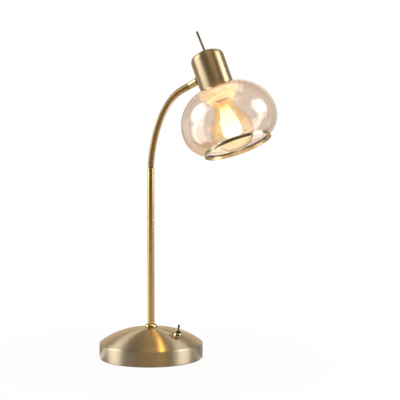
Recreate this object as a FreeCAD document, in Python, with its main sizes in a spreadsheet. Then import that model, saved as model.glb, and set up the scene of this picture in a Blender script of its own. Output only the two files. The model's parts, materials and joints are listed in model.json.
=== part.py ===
import FreeCAD, Part

import math
import os

import Sketcher
from FreeCAD import Placement, Rotation, Vector

# Glass globe table lamp: a weighted foot, a straight stem, a ribbed gooseneck and a tilting head.
# Millimetres. The origin is the centre of the foot's underside and +Z points up.
# The gooseneck leans over towards +X, the toggle switch is on that side and the cord inlet is at -X.

SIZES = {
    "foot": {
        "base_radius": 75.0,
        "rim_height": 21.8,
        "dome_height": 43.6,
        "crown_radius": 190.0,
        "crown_reach": 30.0,
        "shell_wall": 1.2,
        "shell_lift": 0.8,
        "rim_rounding": 2.2,
        "foot_rounding": 0.5,
        "pad_thickness": 2.0,
        "ballast_height": 11.0,
        "ballast_gap": 1.3,
        "ballast_chamfer": 1.5,
        "notch_width": 18.0,
        "notch_depth": 11.0,
        "notch_overrun": 1.0,
        "recess_radius": 12.0,
        "recess_depth": 6.6,
        "inlet_height": 11.0,
        "inlet_bore": 3.2,
        "inlet_body": 4.6,
        "inlet_flange": 6.6,
        "inlet_flange_height": 1.8,
        "inlet_seat": 0.3,
        "inlet_bevel": 0.9,
        "inlet_bevel_height": 0.7,
        "inlet_tail": 4.5,
        "inlet_nut_width": 12.0,
        "inlet_nut_height": 3.0,
        "inlet_nut_gap": 0.35,
    },
    "stem": {
        "stem_radius": 5.0,
        "stem_wall": 0.9,
        "stem_top": 275.3,
        "collar_radius": 8.6,
        "collar_top_radius": 6.5,
        "collar_height": 4.4,
        "collar_land": 0.9,
        "collar_bulge": 5.2,
        "tie_radius": 4.0,
        "tie_bore": 2.6,
        "tie_reach": 22.0,
        "tie_lift": 0.4,
        "tie_slot_height": 27.0,
        "tie_slot_radius": 2.2,
        "nut_width": 13.0,
        "nut_height": 4.5,
        "foot_nut_height": 4.1,
        "washer_radius": 7.6,
        "washer_thickness": 1.2,
        "spacer_radius": 6.5,
    },
    "neck": {
        "groove_radius": 4.3,
        "groove_height": 1.5,
        "shank_length": 14.0,
        "foot_cone_top": 6.0,
        "foot_cone_low": 8.0,
        "hose_radius": 5.0,
        "hose_root": 4.4,
        "hose_length": 133.5,
        "hose_bore": 1.6,
        "rib_flank": 0.45,
        "rib_crest": 1.2,
        "end_rib_trim": 0.35,
        "ball_radius": 3.3,
        "ball_clearance": 0.08,
        "pivot_slope": 11.0,
        "neck_bend": 67.5,
        "bend_dip": 2.514,
        "bend_rise": 3.966,
        "ferrule_length": 23.5,
        "nipple_depth": 9.0,
        "nipple_grip": 8.8,
        "nipple_stand_out": 2.2,
        "washer_rise": 1.2,
        "ferrule_foot_radius": 4.8,
        "ferrule_top_radius": 5.5,
        "ferrule_shank": 6.0,
        "swivel_radius": 4.0,
        "swivel_bore": 2.6,
        "swivel_clearance": 0.06,
        "swivel_washer_radius": 6.4,
        "swivel_washer_thickness": 2.6,
        "swivel_nut_width": 11.0,
        "swivel_nut_height": 2.0,
    },
    "head": {
        "cup_radius": 23.6,
        "cup_wall": 0.9,
        "cup_top": 32.6,
        "cup_bottom": 22.6,
        "cup_crown_radius": 42.0,
        "cup_corner_radius": 9.0,
        "rod_radius": 1.6,
        "rod_length": 31.3,
        "rod_lean": 2.8,
        "rod_spigot_radius": 1.75,
        "rod_spigot_length": 8.0,
        "rod_lap": 0.3,
        "rod_nut_width": 5.5,
        "rod_nut_height": 2.2,
        "bracket_width": 12.0,
        "bracket_thickness": 1.2,
        "bracket_half_span": 9.5,
        "bracket_foot_reach": 16.5,
        "bracket_screw_place": 12.8,
        "bracket_screw_radius": 1.5,
        "bracket_screw_length": 4.0,
        "bracket_screw_head": 2.7,
        "bracket_screw_head_height": 1.8,
        "bracket_screw_dome": 4.0,
        "holder_top": 3.4,
        "holder_radius": 19.0,
        "holder_shoulder": 35.0,
        "holder_shoulder_drop": 0.8,
        "holder_edge": 1.5,
        "holder_screw_depth": 4.3,
        "holder_nose_radius": 16.9,
        "holder_mouth": 43.0,
        "holder_cavity_radius": 15.4,
        "holder_floor": 8.6,
        "thread_shell_radius": 14.0,
        "thread_shell_wall": 0.4,
        "thread_shell_length": 25.0,
        "thread_shell_drop": 2.0,
        "contact_radius": 4.0,
        "contact_height": 2.1,
        "contact_bevel": 1.0,
        "shade_ring_radius": 28.3,
        "shade_ring_flange": 2.0,
        "shade_ring_skirt": 24.6,
        "shade_ring_nose": 20.9,
        "shade_ring_height": 11.0,
        "shade_ring_clearance": 0.3,
        "gasket_thickness": 0.8,
        "gasket_gap": 0.1,
        "globe_radius": 67.2,
        "globe_wall": 2.2,
        "globe_shoulder_radius": 51.2,
        "globe_crown_radius": 108.0,
        "globe_hole_radius": 20.2,
        "globe_seat_gap": 0.5,
        "mouth_fall": 36.91,
        "mouth_share": 0.709821428571,
        "ring_height": 4.4,
        "ring_wall": 0.8,
        "ring_ledge": 2.6,
        "ledge_drop": 0.15,
        "seat_gap": 0.25,
        "bulb_radius": 30.0,
        "bulb_length": 104.0,
        "bulb_tip_drop": 115.0,
        "bulb_neck_radius": 14.4,
        "bulb_neck_curve": 45.0,
        "bulb_wall": 0.8,
        "bulb_cap_radius": 13.2,
        "bulb_cap_length": 22.5,
        "bulb_cap_lip": 1.0,
        "bulb_cap_foot": 1.2,
        "bulb_cap_inner_foot": 1.5,
        "bulb_cap_cone": 2.0,
        "bulb_cap_inner_cone": 2.2,
        "bulb_cap_top_radius": 8.5,
        "bulb_cap_wall": 0.5,
        "bulb_insulator_height": 2.6,
        "bulb_insulator_radius": 8.3,
        "bulb_contact_radius": 4.5,
        "bulb_contact_height": 0.9,
        "bulb_contact_bevel": 0.8,
        "filament_radius": 0.9,
        "filament_length": 36.0,
        "filament_circle": 6.5,
        "filament_splay": 9.0,
        "filament_drop": 58.0,
        "hub_height": 0.8,
        "hub_lift": 0.2,
        "hub_hole_height": 2.0,
        "hub_hole_drop": 0.4,
        "strip_lap": 0.4,
        "mount_radius": 2.2,
        "mount_gap": 0.6,
        "mount_flare_height": 1.2,
        "mount_tip": 2.0,
        "mount_tip_bevel": 0.6,
        "mount_tip_rise": 1.0,
        "mount_neck_low": 9.0,
        "mount_neck_high": 3.0,
        "mount_swell": 2.8,
    },
    "switch": {
        "switch_place": 52.0,
        "switch_azimuth": -8.0,
        "switch_nut_radius": 6.2,
        "switch_nut_top_radius": 3.9,
        "switch_nut_height": 8.1,
        "switch_nut_bulge": 9.5,
        "switch_nut_gap": 0.25,
        "bush_radius": 3.0,
        "bush_head_radius": 3.6,
        "bush_head_height": 0.8,
        "bush_mouth_wall": 0.7,
        "switch_case_length": 13.0,
        "switch_case_width": 8.0,
        "switch_case_height": 9.5,
        "switch_case_drop": 5.6,
        "lock_nut_width": 8.0,
        "lock_nut_height": 2.0,
        "terminal_length": 4.0,
        "terminal_width": 2.2,
        "terminal_thickness": 0.8,
        "terminal_pitch": 4.0,
        "lever_pivot_height": 4.6,
        "lever_ball_radius": 2.0,
        "lever_ball_clearance": 0.06,
        "lever_waist_radius": 1.0,
        "lever_tip_radius": 1.5,
        "lever_reach": 19.4,
        "lever_throw": 13.2,
    },
    "fits": {
        "seat_play": 0.03,
        "close_play": 0.05,
        "collar_play": 0.08,
        "hole_play": 0.1,
        "loose_play": 0.3,
        "fine_bevel": 0.3,
        "edge_bevel": 0.4,
        "wide_bevel": 0.5,
    },
}

LINKS = 12
RIBS_PER_LINK = 4
FILAMENTS = 4
ON_AXIS = 0.0
FACE_GAP = 0.02
QUARTER_TURN = 90.0
HALF_TURN = 180.0
FULL_TURN = 360.0
CUT_REACH = 8.0


class Dim:
    """A size together with the sheet expression that gives it."""

    def __init__(self, value, text):
        self.value = value
        self.text = text

    def __add__(self, other):
        other = as_dim(other)
        return Dim(self.value + other.value, f"({self.text} + {other.text})")

    def __radd__(self, other):
        return as_dim(other) + self

    def __sub__(self, other):
        other = as_dim(other)
        return Dim(self.value - other.value, f"({self.text} - {other.text})")

    def __rsub__(self, other):
        return as_dim(other) - self

    def __mul__(self, other):
        other = as_dim(other)
        return Dim(self.value * other.value, f"({self.text} * {other.text})")

    def __rmul__(self, other):
        return as_dim(other) * self

    def __truediv__(self, other):
        other = as_dim(other)
        return Dim(self.value / other.value, f"({self.text} / {other.text})")

    def __rtruediv__(self, other):
        return as_dim(other) / self

    def __neg__(self):
        return 0.0 - self


def as_dim(number):
    return number if isinstance(number, Dim) else Dim(float(number), f"{float(number):.6f}")


def root(square):
    return Dim(math.sqrt(square.value), f"sqrt({square.text})")


def side_of(hypotenuse, other_side):
    return root(hypotenuse * hypotenuse - other_side * other_side)


doc = FreeCAD.newDocument("globe_table_lamp")


def make_sheet():
    """Writes every size into the spreadsheet and returns the sizes by name."""
    sheet = doc.addObject("Spreadsheet::Sheet", "sizes")
    sizes = {}
    row = 1
    for section, entries in SIZES.items():
        sheet.set(f"A{row}", section)
        row += 1
        for name, number in entries.items():
            sheet.set(f"A{row}", name.replace("_", " "))
            sheet.set(f"B{row}", str(number))
            sheet.setAlias(f"B{row}", name)
            sizes[name] = Dim(number, f"sizes.{name}")
            row += 1
    doc.recompute()
    return sizes


class Sizes:
    """Reads a size as an attribute, such as s.base_radius."""

    def __init__(self, table):
        self.__dict__.update(table)


s = Sizes(make_sheet())


def origin_plane(body, role):
    return next(item for item in body.Origin.OriginFeatures if item.Role == role)


def new_body(label, frame):
    body = doc.addObject("PartDesign::Body", label)
    body.Label = label
    body.Placement = frame
    return body


def new_sketch(body, name, role, offset=None):
    sketch = body.newObject("Sketcher::SketchObject", name)
    sketch.AttachmentSupport = [(origin_plane(body, role), "")]
    sketch.MapMode = "FlatFace"
    if offset is not None:
        sketch.AttachmentOffset = offset
    return sketch


def bind(sketch, kind, geometry, point, size):
    """Ties one coordinate of a corner to its size, or to the axis where it is zero."""
    if size.value == ON_AXIS and size.text == as_dim(ON_AXIS).text:
        axis = -2 if kind == "DistanceX" else -1
        sketch.addConstraint(Sketcher.Constraint("PointOnObject", geometry, point, axis))
        return
    index = sketch.addConstraint(Sketcher.Constraint(kind, -1, 1, geometry, point, size.value))
    sketch.setExpression(f"Constraints[{index}]", size.text)


def bow(start, end, radius, turn):
    """Centre of the arc of under a half circle that leaves start with the given turn."""
    chord = end - start
    middle = (start + end) * 0.5
    depth = math.sqrt(max(radius * radius - chord.Length ** 2 / 4.0, 0.0))
    across = Vector(-chord.y, chord.x, 0).normalize()
    return middle + across * depth * turn


def add_arc(sketch, start, end, radius, turn):
    """Adds an arc and returns which of its points, 1 or 2, is the start corner."""
    centre = bow(start, end, radius, turn)
    first, last = (start, end) if turn > 0 else (end, start)
    angles = [math.atan2(point.y - centre.y, point.x - centre.x) for point in (first, last)]
    if angles[1] < angles[0]:
        angles[1] += 2 * math.pi
    circle = Part.Circle(centre, Vector(0, 0, 1), radius)
    sketch.addGeometry(Part.ArcOfCircle(circle, angles[0], angles[1]), False)
    return 1 if turn > 0 else 2


def draw_outline(sketch, corners):
    """Draws a closed outline. A corner is (x, y), or (x, y, radius, turn) where an arc leaves it.

    A turn of 1 bends the arc to the left of its path and -1 to the right.
    """
    spots = [Vector(as_dim(corner[0]).value, as_dim(corner[1]).value, 0) for corner in corners]
    first_geometry = sketch.GeometryCount
    starts = []
    for index, corner in enumerate(corners):
        here = spots[index]
        there = spots[(index + 1) % len(spots)]
        if len(corner) == 2:
            sketch.addGeometry(Part.LineSegment(here, there), False)
            starts.append(1)
        else:
            starts.append(add_arc(sketch, here, there, as_dim(corner[2]).value, corner[3]))
    for index, corner in enumerate(corners):
        geometry = first_geometry + index
        following = (index + 1) % len(corners)
        sketch.addConstraint(Sketcher.Constraint("Coincident", geometry, 3 - starts[index],
                                                 first_geometry + following, starts[following]))
        bind(sketch, "DistanceX", geometry, starts[index], as_dim(corner[0]))
        bind(sketch, "DistanceY", geometry, starts[index], as_dim(corner[1]))
        if len(corner) > 2:
            radius = as_dim(corner[2])
            number = sketch.addConstraint(Sketcher.Constraint("Radius", geometry, radius.value))
            sketch.setExpression(f"Constraints[{number}]", radius.text)


def draw_circle(sketch, x, y, radius):
    x, y, radius = as_dim(x), as_dim(y), as_dim(radius)
    geometry = sketch.GeometryCount
    sketch.addGeometry(Part.Circle(Vector(x.value, y.value, 0), Vector(0, 0, 1), radius.value), False)
    bind(sketch, "DistanceX", geometry, 3, x)
    bind(sketch, "DistanceY", geometry, 3, y)
    number = sketch.addConstraint(Sketcher.Constraint("Radius", geometry, radius.value))
    sketch.setExpression(f"Constraints[{number}]", radius.text)


def turned(label, corners, frame=Placement()):
    """A piece turned about its own Z axis from an outline of (radius, height) corners."""
    body = new_body(label, frame)
    sketch = new_sketch(body, f"{label}_outline", "XZ_Plane")
    draw_outline(sketch, corners)
    turn = body.newObject("PartDesign::Revolution", f"{label}_turn")
    turn.Profile = sketch
    turn.ReferenceAxis = (sketch, ["V_Axis"])
    turn.Angle = FULL_TURN
    doc.recompute()
    return body


def tube(label, outer, inner, low, high, frame=Placement()):
    return turned(label, [(inner, low), (outer, low), (outer, high), (inner, high)], frame)


def raised(height):
    return Placement(Vector(0, 0, as_dim(height).value), Rotation())


def tie_height(sketch, height):
    sketch.setExpression("AttachmentOffset.Base.z", as_dim(height).text)


def hexagon(width):
    """Corners of a hexagon from its size across the flats."""
    reach = width / root(as_dim(3.0))
    half = reach / 2.0
    flat = width / 2.0
    return [(reach, ON_AXIS), (half, flat), (-half, flat), (-reach, ON_AXIS), (-half, -flat), (half, -flat)]


def rectangle(length, width):
    x, y = length / 2.0, width / 2.0
    return [(x, y), (-x, y), (-x, -y), (x, -y)]


def prism(label, outline, low, height, bore=None, frame=Placement()):
    """A piece of one outline, raised along Z, with an optional bore on its axis."""
    body = new_body(label, frame)
    sketch = new_sketch(body, f"{label}_outline", "XY_Plane", raised(low))
    tie_height(sketch, low)
    draw_outline(sketch, outline)
    if bore is not None:
        draw_circle(sketch, ON_AXIS, ON_AXIS, bore)
    pad = body.newObject("PartDesign::Pad", f"{label}_pad")
    pad.Profile = sketch
    pad.setExpression("Length", as_dim(height).text)
    doc.recompute()
    return body


def cut_through(body, name, sketch):
    """Cuts a sketch right through its body and checks that material went."""
    before = body.Shape.Volume
    pocket = body.newObject("PartDesign::Pocket", name)
    pocket.Profile = sketch
    pocket.Type = "ThroughAll"
    pocket.SideType = "Symmetric"
    doc.recompute()
    if body.Shape.Volume >= before:
        raise RuntimeError(f"{name} removed nothing")


def round_edges(body, name, radius, rings):
    """Rounds the circular edges of a turned piece, each named by its (radius, height)."""
    shape = body.Tip.Shape
    picked = []
    for number, edge in enumerate(shape.Edges, start=1):
        if not isinstance(edge.Curve, Part.Circle):
            continue
        for ring_radius, height in rings:
            near = abs(edge.Curve.Radius - ring_radius.value) < 1e-4
            if near and abs(edge.Curve.Center.z - as_dim(height).value) < 1e-4:
                picked.append(f"Edge{number}")
    if len(picked) != len(rings):
        raise RuntimeError(f"{name} found {len(picked)} of {len(rings)} edges")
    base = body.Tip
    fillet = body.newObject("PartDesign::Fillet", name)
    fillet.Base = (base, picked)
    fillet.setExpression("Radius", as_dim(radius).text)
    doc.recompute()


# The dome: a shallow crown arc that meets a tighter shoulder arc tangentially, which ends at the rim.
crown_sine = s.crown_reach / s.crown_radius
crown_cosine = side_of(s.crown_radius, s.crown_reach) / s.crown_radius
crown_drop = s.crown_radius - side_of(s.crown_radius, s.crown_reach)
shoulder_run = s.base_radius - s.crown_reach
shoulder_fall = s.dome_height - crown_drop - s.rim_height
shoulder_radius = (shoulder_run * shoulder_run + shoulder_fall * shoulder_fall) / (
    2.0 * (shoulder_fall * crown_cosine - shoulder_run * crown_sine))


def crown_height(radius):
    """Height of the dome's outer face inside the crown."""
    return s.dome_height - s.crown_radius + side_of(s.crown_radius, as_dim(radius))


def dome_spot(radius):
    """Height and slope of the dome's outer face in its shoulder, for a piece that sits there."""
    sine = crown_sine.value + (radius - s.crown_reach.value) / shoulder_radius.value
    slope = math.asin(sine)
    start = s.dome_height.value - crown_drop.value
    fall = shoulder_radius.value * (crown_cosine.value - math.cos(slope))
    return start - fall, math.degrees(slope)


stem_inner = s.stem_radius - s.stem_wall
stem_hole = s.tie_radius + s.hole_play
shell_inside_radius = s.base_radius - s.shell_wall
ballast_low = s.pad_thickness
ballast_top = ballast_low + s.ballast_height
ballast_radius = shell_inside_radius - s.ballast_gap
recess_top = ballast_low + s.recess_depth


def dome_under(radius):
    """Height of the shell's inner face inside the crown."""
    return s.dome_height - s.crown_radius + side_of(s.crown_radius - s.shell_wall, as_dim(radius))


spot_height, spot_slope = dome_spot(s.switch_place.value)
switch_spin = Rotation(Vector(0, 0, 1), s.switch_azimuth.value)
switch_frame = Placement(
    switch_spin.multVec(Vector(s.switch_place.value, 0, spot_height)),
    switch_spin * Rotation(Vector(0, 1, 0), spot_slope))
inlet_frame = Placement(
    Vector(-s.base_radius.value, 0, s.inlet_height.value), Rotation(Vector(0, 1, 0), -QUARTER_TURN))


def make_base_shell():
    inner_crown = s.crown_radius - s.shell_wall
    inner_shoulder = shoulder_radius - s.shell_wall
    joint_radius = s.crown_reach - s.shell_wall * crown_sine
    joint_height = s.dome_height - crown_drop - s.shell_wall * crown_cosine
    shoulder_centre = s.crown_reach - shoulder_radius * crown_sine
    shoulder_level = s.dome_height - crown_drop - shoulder_radius * crown_cosine
    inner_rim = shoulder_level + side_of(inner_shoulder, shell_inside_radius - shoulder_centre)
    body = turned("base_shell", [
        (stem_hole, crown_height(stem_hole), s.crown_radius, -1),
        (s.crown_reach, s.dome_height - crown_drop, shoulder_radius, -1),
        (s.base_radius, s.rim_height),
        (s.base_radius, s.shell_lift),
        (shell_inside_radius, s.shell_lift),
        (shell_inside_radius, inner_rim, inner_shoulder, 1),
        (joint_radius, joint_height, inner_crown, 1),
        (stem_hole, dome_under(stem_hole)),
    ])
    sketch = new_sketch(body, "switch_hole", "XY_Plane", switch_frame)
    draw_circle(sketch, ON_AXIS, ON_AXIS, s.bush_radius + s.hole_play)
    pocket = body.newObject("PartDesign::Pocket", "switch_hole_cut")
    pocket.Profile = sketch
    pocket.SideType = "Symmetric"
    pocket.setExpression("Length", (CUT_REACH * s.shell_wall).text)
    doc.recompute()
    sketch = new_sketch(body, "inlet_hole", "XY_Plane", inlet_frame)
    draw_circle(sketch, ON_AXIS, ON_AXIS, s.inlet_body + s.hole_play)
    pocket = body.newObject("PartDesign::Pocket", "inlet_hole_cut")
    pocket.Profile = sketch
    pocket.SideType = "Symmetric"
    pocket.setExpression("Length", (CUT_REACH * s.shell_wall).text)
    doc.recompute()
    round_edges(body, "rim_edge", s.rim_rounding, [(s.base_radius, s.rim_height)])
    round_edges(body, "foot_edge", s.foot_rounding, [(s.base_radius, s.shell_lift)])
    return body


def make_foot():
    """Everything inside and under the foot's shell."""
    pieces = [make_base_shell()]
    pad_radius = shell_inside_radius - s.loose_play
    pieces.append(turned("foot_pad", [
        (ON_AXIS, ON_AXIS), (pad_radius, ON_AXIS), (pad_radius, s.pad_thickness - FACE_GAP),
        (ON_AXIS, s.pad_thickness - FACE_GAP)]))
    ballast = turned("base_ballast", [
        (stem_hole, recess_top),
        (s.recess_radius, recess_top),
        (s.recess_radius, ballast_low),
        (ballast_radius, ballast_low),
        (ballast_radius, ballast_top - s.ballast_chamfer),
        (ballast_radius - s.ballast_chamfer, ballast_top),
        (stem_hole, ballast_top),
    ])
    notch = new_sketch(ballast, "cord_notch", "XY_Plane")
    outer = -(ballast_radius + s.notch_overrun)
    inner = -(ballast_radius - s.notch_depth)
    half = s.notch_width / 2.0
    draw_outline(notch, [(outer, -half), (inner, -half), (inner, half), (outer, half)])
    cut_through(ballast, "cord_notch_cut", notch)
    pieces.append(ballast)
    return pieces


def make_tie():
    """The hollow threaded tie that clamps the stem, the shell and the weight together."""
    tie_low = s.pad_thickness + s.tie_lift
    tie = tube("stem_tie_tube", s.tie_radius, s.tie_bore, tie_low, s.dome_height + s.tie_reach)
    slot = new_sketch(tie, "wire_hole", "XZ_Plane")
    draw_circle(slot, ON_AXIS, s.tie_slot_height, s.tie_slot_radius)
    cut_through(tie, "wire_hole_cut", slot)
    bore = s.tie_radius + s.close_play
    washer_high = dome_under(s.washer_radius) - 4.0 * FACE_GAP
    washer_low = washer_high - s.washer_thickness
    nut_low = washer_low - s.nut_height - FACE_GAP
    spacer_high = nut_low - FACE_GAP
    spacer_low = ballast_top + FACE_GAP
    spacer = tube("ballast_spacer", s.spacer_radius, bore, spacer_low, spacer_high)
    slot = new_sketch(spacer, "spacer_wire_hole", "XZ_Plane")
    draw_circle(slot, ON_AXIS, s.tie_slot_height, s.tie_bore)
    cut_through(spacer, "spacer_wire_hole_cut", slot)
    foot_washer_high = recess_top - FACE_GAP
    foot_washer_low = foot_washer_high - s.washer_thickness
    foot_nut_low = foot_washer_low - s.foot_nut_height - FACE_GAP
    return [
        tie,
        tube("stem_lock_washer", s.washer_radius, bore, washer_low, washer_high),
        prism("stem_lock_nut", hexagon(s.nut_width), nut_low, s.nut_height, bore),
        spacer,
        tube("ballast_washer", s.washer_radius, bore, foot_washer_low, foot_washer_high),
        prism("ballast_nut", hexagon(s.nut_width), foot_nut_low, s.foot_nut_height, bore),
    ]


def make_inlet():
    """The bushing and nut of the cord inlet, turned about an axis that points out at the back."""
    shell_back = -s.shell_wall
    flange_high = s.inlet_flange_height + s.inlet_seat
    bushing = turned("cord_inlet", [
        (s.inlet_bore, shell_back - s.inlet_tail),
        (s.inlet_body, shell_back - s.inlet_tail),
        (s.inlet_body, s.inlet_seat),
        (s.inlet_flange, s.inlet_seat),
        (s.inlet_flange, flange_high - s.inlet_bevel_height),
        (s.inlet_flange - s.inlet_bevel, flange_high),
        (s.inlet_bore, flange_high),
    ], inlet_frame)
    nut_low = shell_back - s.inlet_nut_height - s.inlet_nut_gap
    nut = prism("inlet_nut", hexagon(s.inlet_nut_width), nut_low, s.inlet_nut_height,
                s.inlet_body + s.close_play, inlet_frame)
    return [bushing, nut]


def make_stem():
    stem_low = s.dome_height + FACE_GAP
    stem = turned("stem_tube", [
        (stem_inner, stem_low),
        (s.stem_radius, stem_low),
        (s.stem_radius, s.stem_top - s.edge_bevel),
        (s.stem_radius - s.edge_bevel, s.stem_top),
        (stem_inner, s.stem_top),
    ])
    collar_bore = s.stem_radius + s.collar_play
    collar_high = stem_low + s.collar_height
    collar = turned("stem_collar", [
        (collar_bore, stem_low),
        (s.collar_radius - s.wide_bevel, stem_low),
        (s.collar_radius, stem_low + s.wide_bevel),
        (s.collar_radius, stem_low + s.collar_land, s.collar_bulge, 1),
        (s.collar_top_radius, collar_high),
        (collar_bore, collar_high),
    ])
    return [stem, collar]


def bend_shares():
    """The rest bend at each pivot of the gooseneck: less in the middle, most near the head."""
    shares = []
    for index in range(LINKS):
        along = (index + 0.5) / LINKS
        shares.append(1.0 - s.bend_dip.value * along + s.bend_rise.value * along ** 2)
    return [s.neck_bend.value * share / sum(shares) for share in shares]


link_length = s.hose_length / LINKS
rib_pitch = link_length / RIBS_PER_LINK
pivot_rise = Dim(math.tan(math.radians(s.pivot_slope.value)), "tan(sizes.pivot_slope * 1 deg)")
socket_radius = s.ball_radius + s.ball_clearance
neck_foot = s.stem_top + s.groove_height


def neck_frames():
    """Placement of each link at its lower pivot, and of the ferrule after the last link."""
    frames = []
    spot = Vector(0, 0, neck_foot.value)
    lean = 0.0
    for bend in bend_shares():
        lean += bend
        turn = Rotation(Vector(0, 1, 0), lean)
        frames.append(Placement(spot, turn))
        spot = spot + turn.multVec(Vector(0, 0, link_length.value))
    frames.append(Placement(spot, frames[-1].Rotation))
    return frames


def on_slope(ball, above):
    """Where a sphere about the pivot meets the sloping end face, as (radius, height)."""
    cosine = 1.0 / root(1.0 + pivot_rise * pivot_rise)
    radius = ball * cosine
    height = radius * pivot_rise
    return radius, (height if above else -height)


def rib_corners():
    """The ribs of one link, from its lower end to its upper end, four corners to a rib."""
    root_run = (rib_pitch - s.rib_crest - 2.0 * s.rib_flank) / 2.0
    corners = []
    for index in range(RIBS_PER_LINK):
        low = rib_pitch * float(index) + root_run
        first = index == 0
        last = index == RIBS_PER_LINK - 1
        start = low + (pivot_rise * s.hose_root if first else 0.0) - (root_run if first else 0.0)
        corners.append((s.hose_root, start))
        low_trim = s.end_rib_trim if first else 0.0
        high_trim = s.end_rib_trim if last else 0.0
        corners.append((s.hose_radius, low + s.rib_flank + low_trim))
        corners.append((s.hose_radius, low + s.rib_flank + s.rib_crest - high_trim))
        if last:
            corners.append((s.hose_root, link_length - pivot_rise * s.hose_root))
        else:
            corners.append((s.hose_root, low + 2.0 * s.rib_flank + s.rib_crest))
    return corners


def make_link(number, frame):
    """One stretch of the ribbed gooseneck: a socket at its foot and a ball at its top.

    The last link has a plug at its top instead, which the head's ferrule screws onto.
    """
    socket_edge = on_slope(socket_radius, True)
    socket_crown = side_of(socket_radius, s.hose_bore)
    corners = [(s.hose_bore, socket_crown, socket_radius, -1), socket_edge] + rib_corners()
    if number < LINKS:
        edge_radius, edge_drop = on_slope(s.ball_radius, False)
        ball_top = side_of(s.ball_radius, s.hose_bore)
        corners.append((edge_radius, link_length + edge_drop, s.ball_radius, 1))
        corners.append((s.ball_radius, link_length, s.ball_radius, 1))
        corners.append((s.hose_bore, link_length + ball_top))
    else:
        corners.pop()
        plug_radius = s.ball_radius
        corners.append((s.hose_root, link_length))
        corners.append((plug_radius, link_length))
        corners.append((plug_radius, link_length + s.ferrule_shank))
        corners.append((s.hose_bore, link_length + s.ferrule_shank))
    return turned(f"neck_link_{number:02d}", corners, frame)


def make_neck_foot():
    """The fitting that plugs the gooseneck into the stem, with the dark waist that shows."""
    shank = stem_inner - s.close_play
    low = s.stem_top - s.shank_length
    edge_radius, edge_drop = on_slope(s.ball_radius, False)
    ball_top = side_of(s.ball_radius, s.hose_bore)
    rim_drop = pivot_rise * s.groove_radius
    return turned("neck_foot_fitting", [
        (s.tie_bore, low),
        (shank, low),
        (shank, s.stem_top),
        (s.groove_radius, s.stem_top + FACE_GAP),
        (s.groove_radius, neck_foot - rim_drop),
        (edge_radius, neck_foot + edge_drop, s.ball_radius, 1),
        (s.ball_radius, neck_foot, s.ball_radius, 1),
        (s.hose_bore, neck_foot + ball_top),
        (s.hose_bore, neck_foot - s.foot_cone_top),
        (s.tie_bore, neck_foot - s.foot_cone_low),
    ])


washer_face = s.ferrule_length + s.swivel_washer_thickness
head_reach = washer_face + s.cup_radius
nipple_end = washer_face + s.cup_wall + s.swivel_nut_height + s.nipple_stand_out


def make_ferrule(frame):
    """The smooth end of the gooseneck with the hollow pivot that the head turns on."""
    socket = s.ball_radius + s.close_play
    depth = s.ferrule_shank + s.loose_play
    ferrule = turned("neck_ferrule", [
        (socket, FACE_GAP),
        (s.ferrule_foot_radius - s.fine_bevel, FACE_GAP),
        (s.ferrule_foot_radius, s.edge_bevel),
        (s.ferrule_top_radius, s.ferrule_length - s.fine_bevel),
        (s.ferrule_top_radius - s.fine_bevel, s.ferrule_length),
        (s.swivel_radius + s.close_play, s.ferrule_length),
        (s.swivel_radius + s.close_play, s.ferrule_length - s.nipple_depth),
        (s.swivel_bore, s.ferrule_length - s.nipple_depth),
        (s.swivel_bore, depth),
        (socket, depth),
    ], frame)
    nipple = tube("swivel_nipple", s.swivel_radius, s.swivel_bore,
                  s.ferrule_length - s.nipple_grip, nipple_end, frame)
    nut_corner = s.swivel_nut_width / root(as_dim(3.0))
    cup_hollow = s.cup_radius - s.cup_wall
    nut_low = washer_face + s.cup_radius - side_of(cup_hollow, nut_corner) + s.swivel_clearance
    nut = prism("swivel_nut", hexagon(s.swivel_nut_width), nut_low, s.swivel_nut_height,
                s.swivel_radius + s.seat_play, frame)
    return [ferrule, nipple, nut]


def make_swivel_washer(frame):
    """Black washer between ferrule and cup: flat on the ferrule, hollowed to the cup's curve."""
    washer = tube("swivel_washer", s.swivel_washer_radius, s.swivel_radius + s.swivel_clearance,
                  s.ferrule_length + s.close_play, washer_face + s.washer_rise, frame)
    sketch = new_sketch(washer, "saddle", "YZ_Plane")
    draw_circle(sketch, ON_AXIS, head_reach, s.cup_radius + s.seat_play)
    cut_through(washer, "saddle_cut", sketch)
    return washer


# Head frame: the origin is where the cup's axis crosses the ferrule's, Z points up the cup's axis
# and X points on from the ferrule.
cup_corner_centre = s.cup_radius - s.cup_corner_radius
cup_crown_span = s.cup_crown_radius - s.cup_corner_radius
cup_corner_level = s.cup_top - s.cup_crown_radius + side_of(cup_crown_span, cup_corner_centre)
cup_inner = s.cup_radius - s.cup_wall
cup_crown_level = s.cup_top - s.cup_crown_radius


def cup_meeting(radius):
    """Where the crown arc meets the corner arc, for an outer or an offset face."""
    share = radius / cup_crown_span
    return cup_corner_centre * share, cup_crown_level + (cup_corner_level - cup_crown_level) * share


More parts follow.
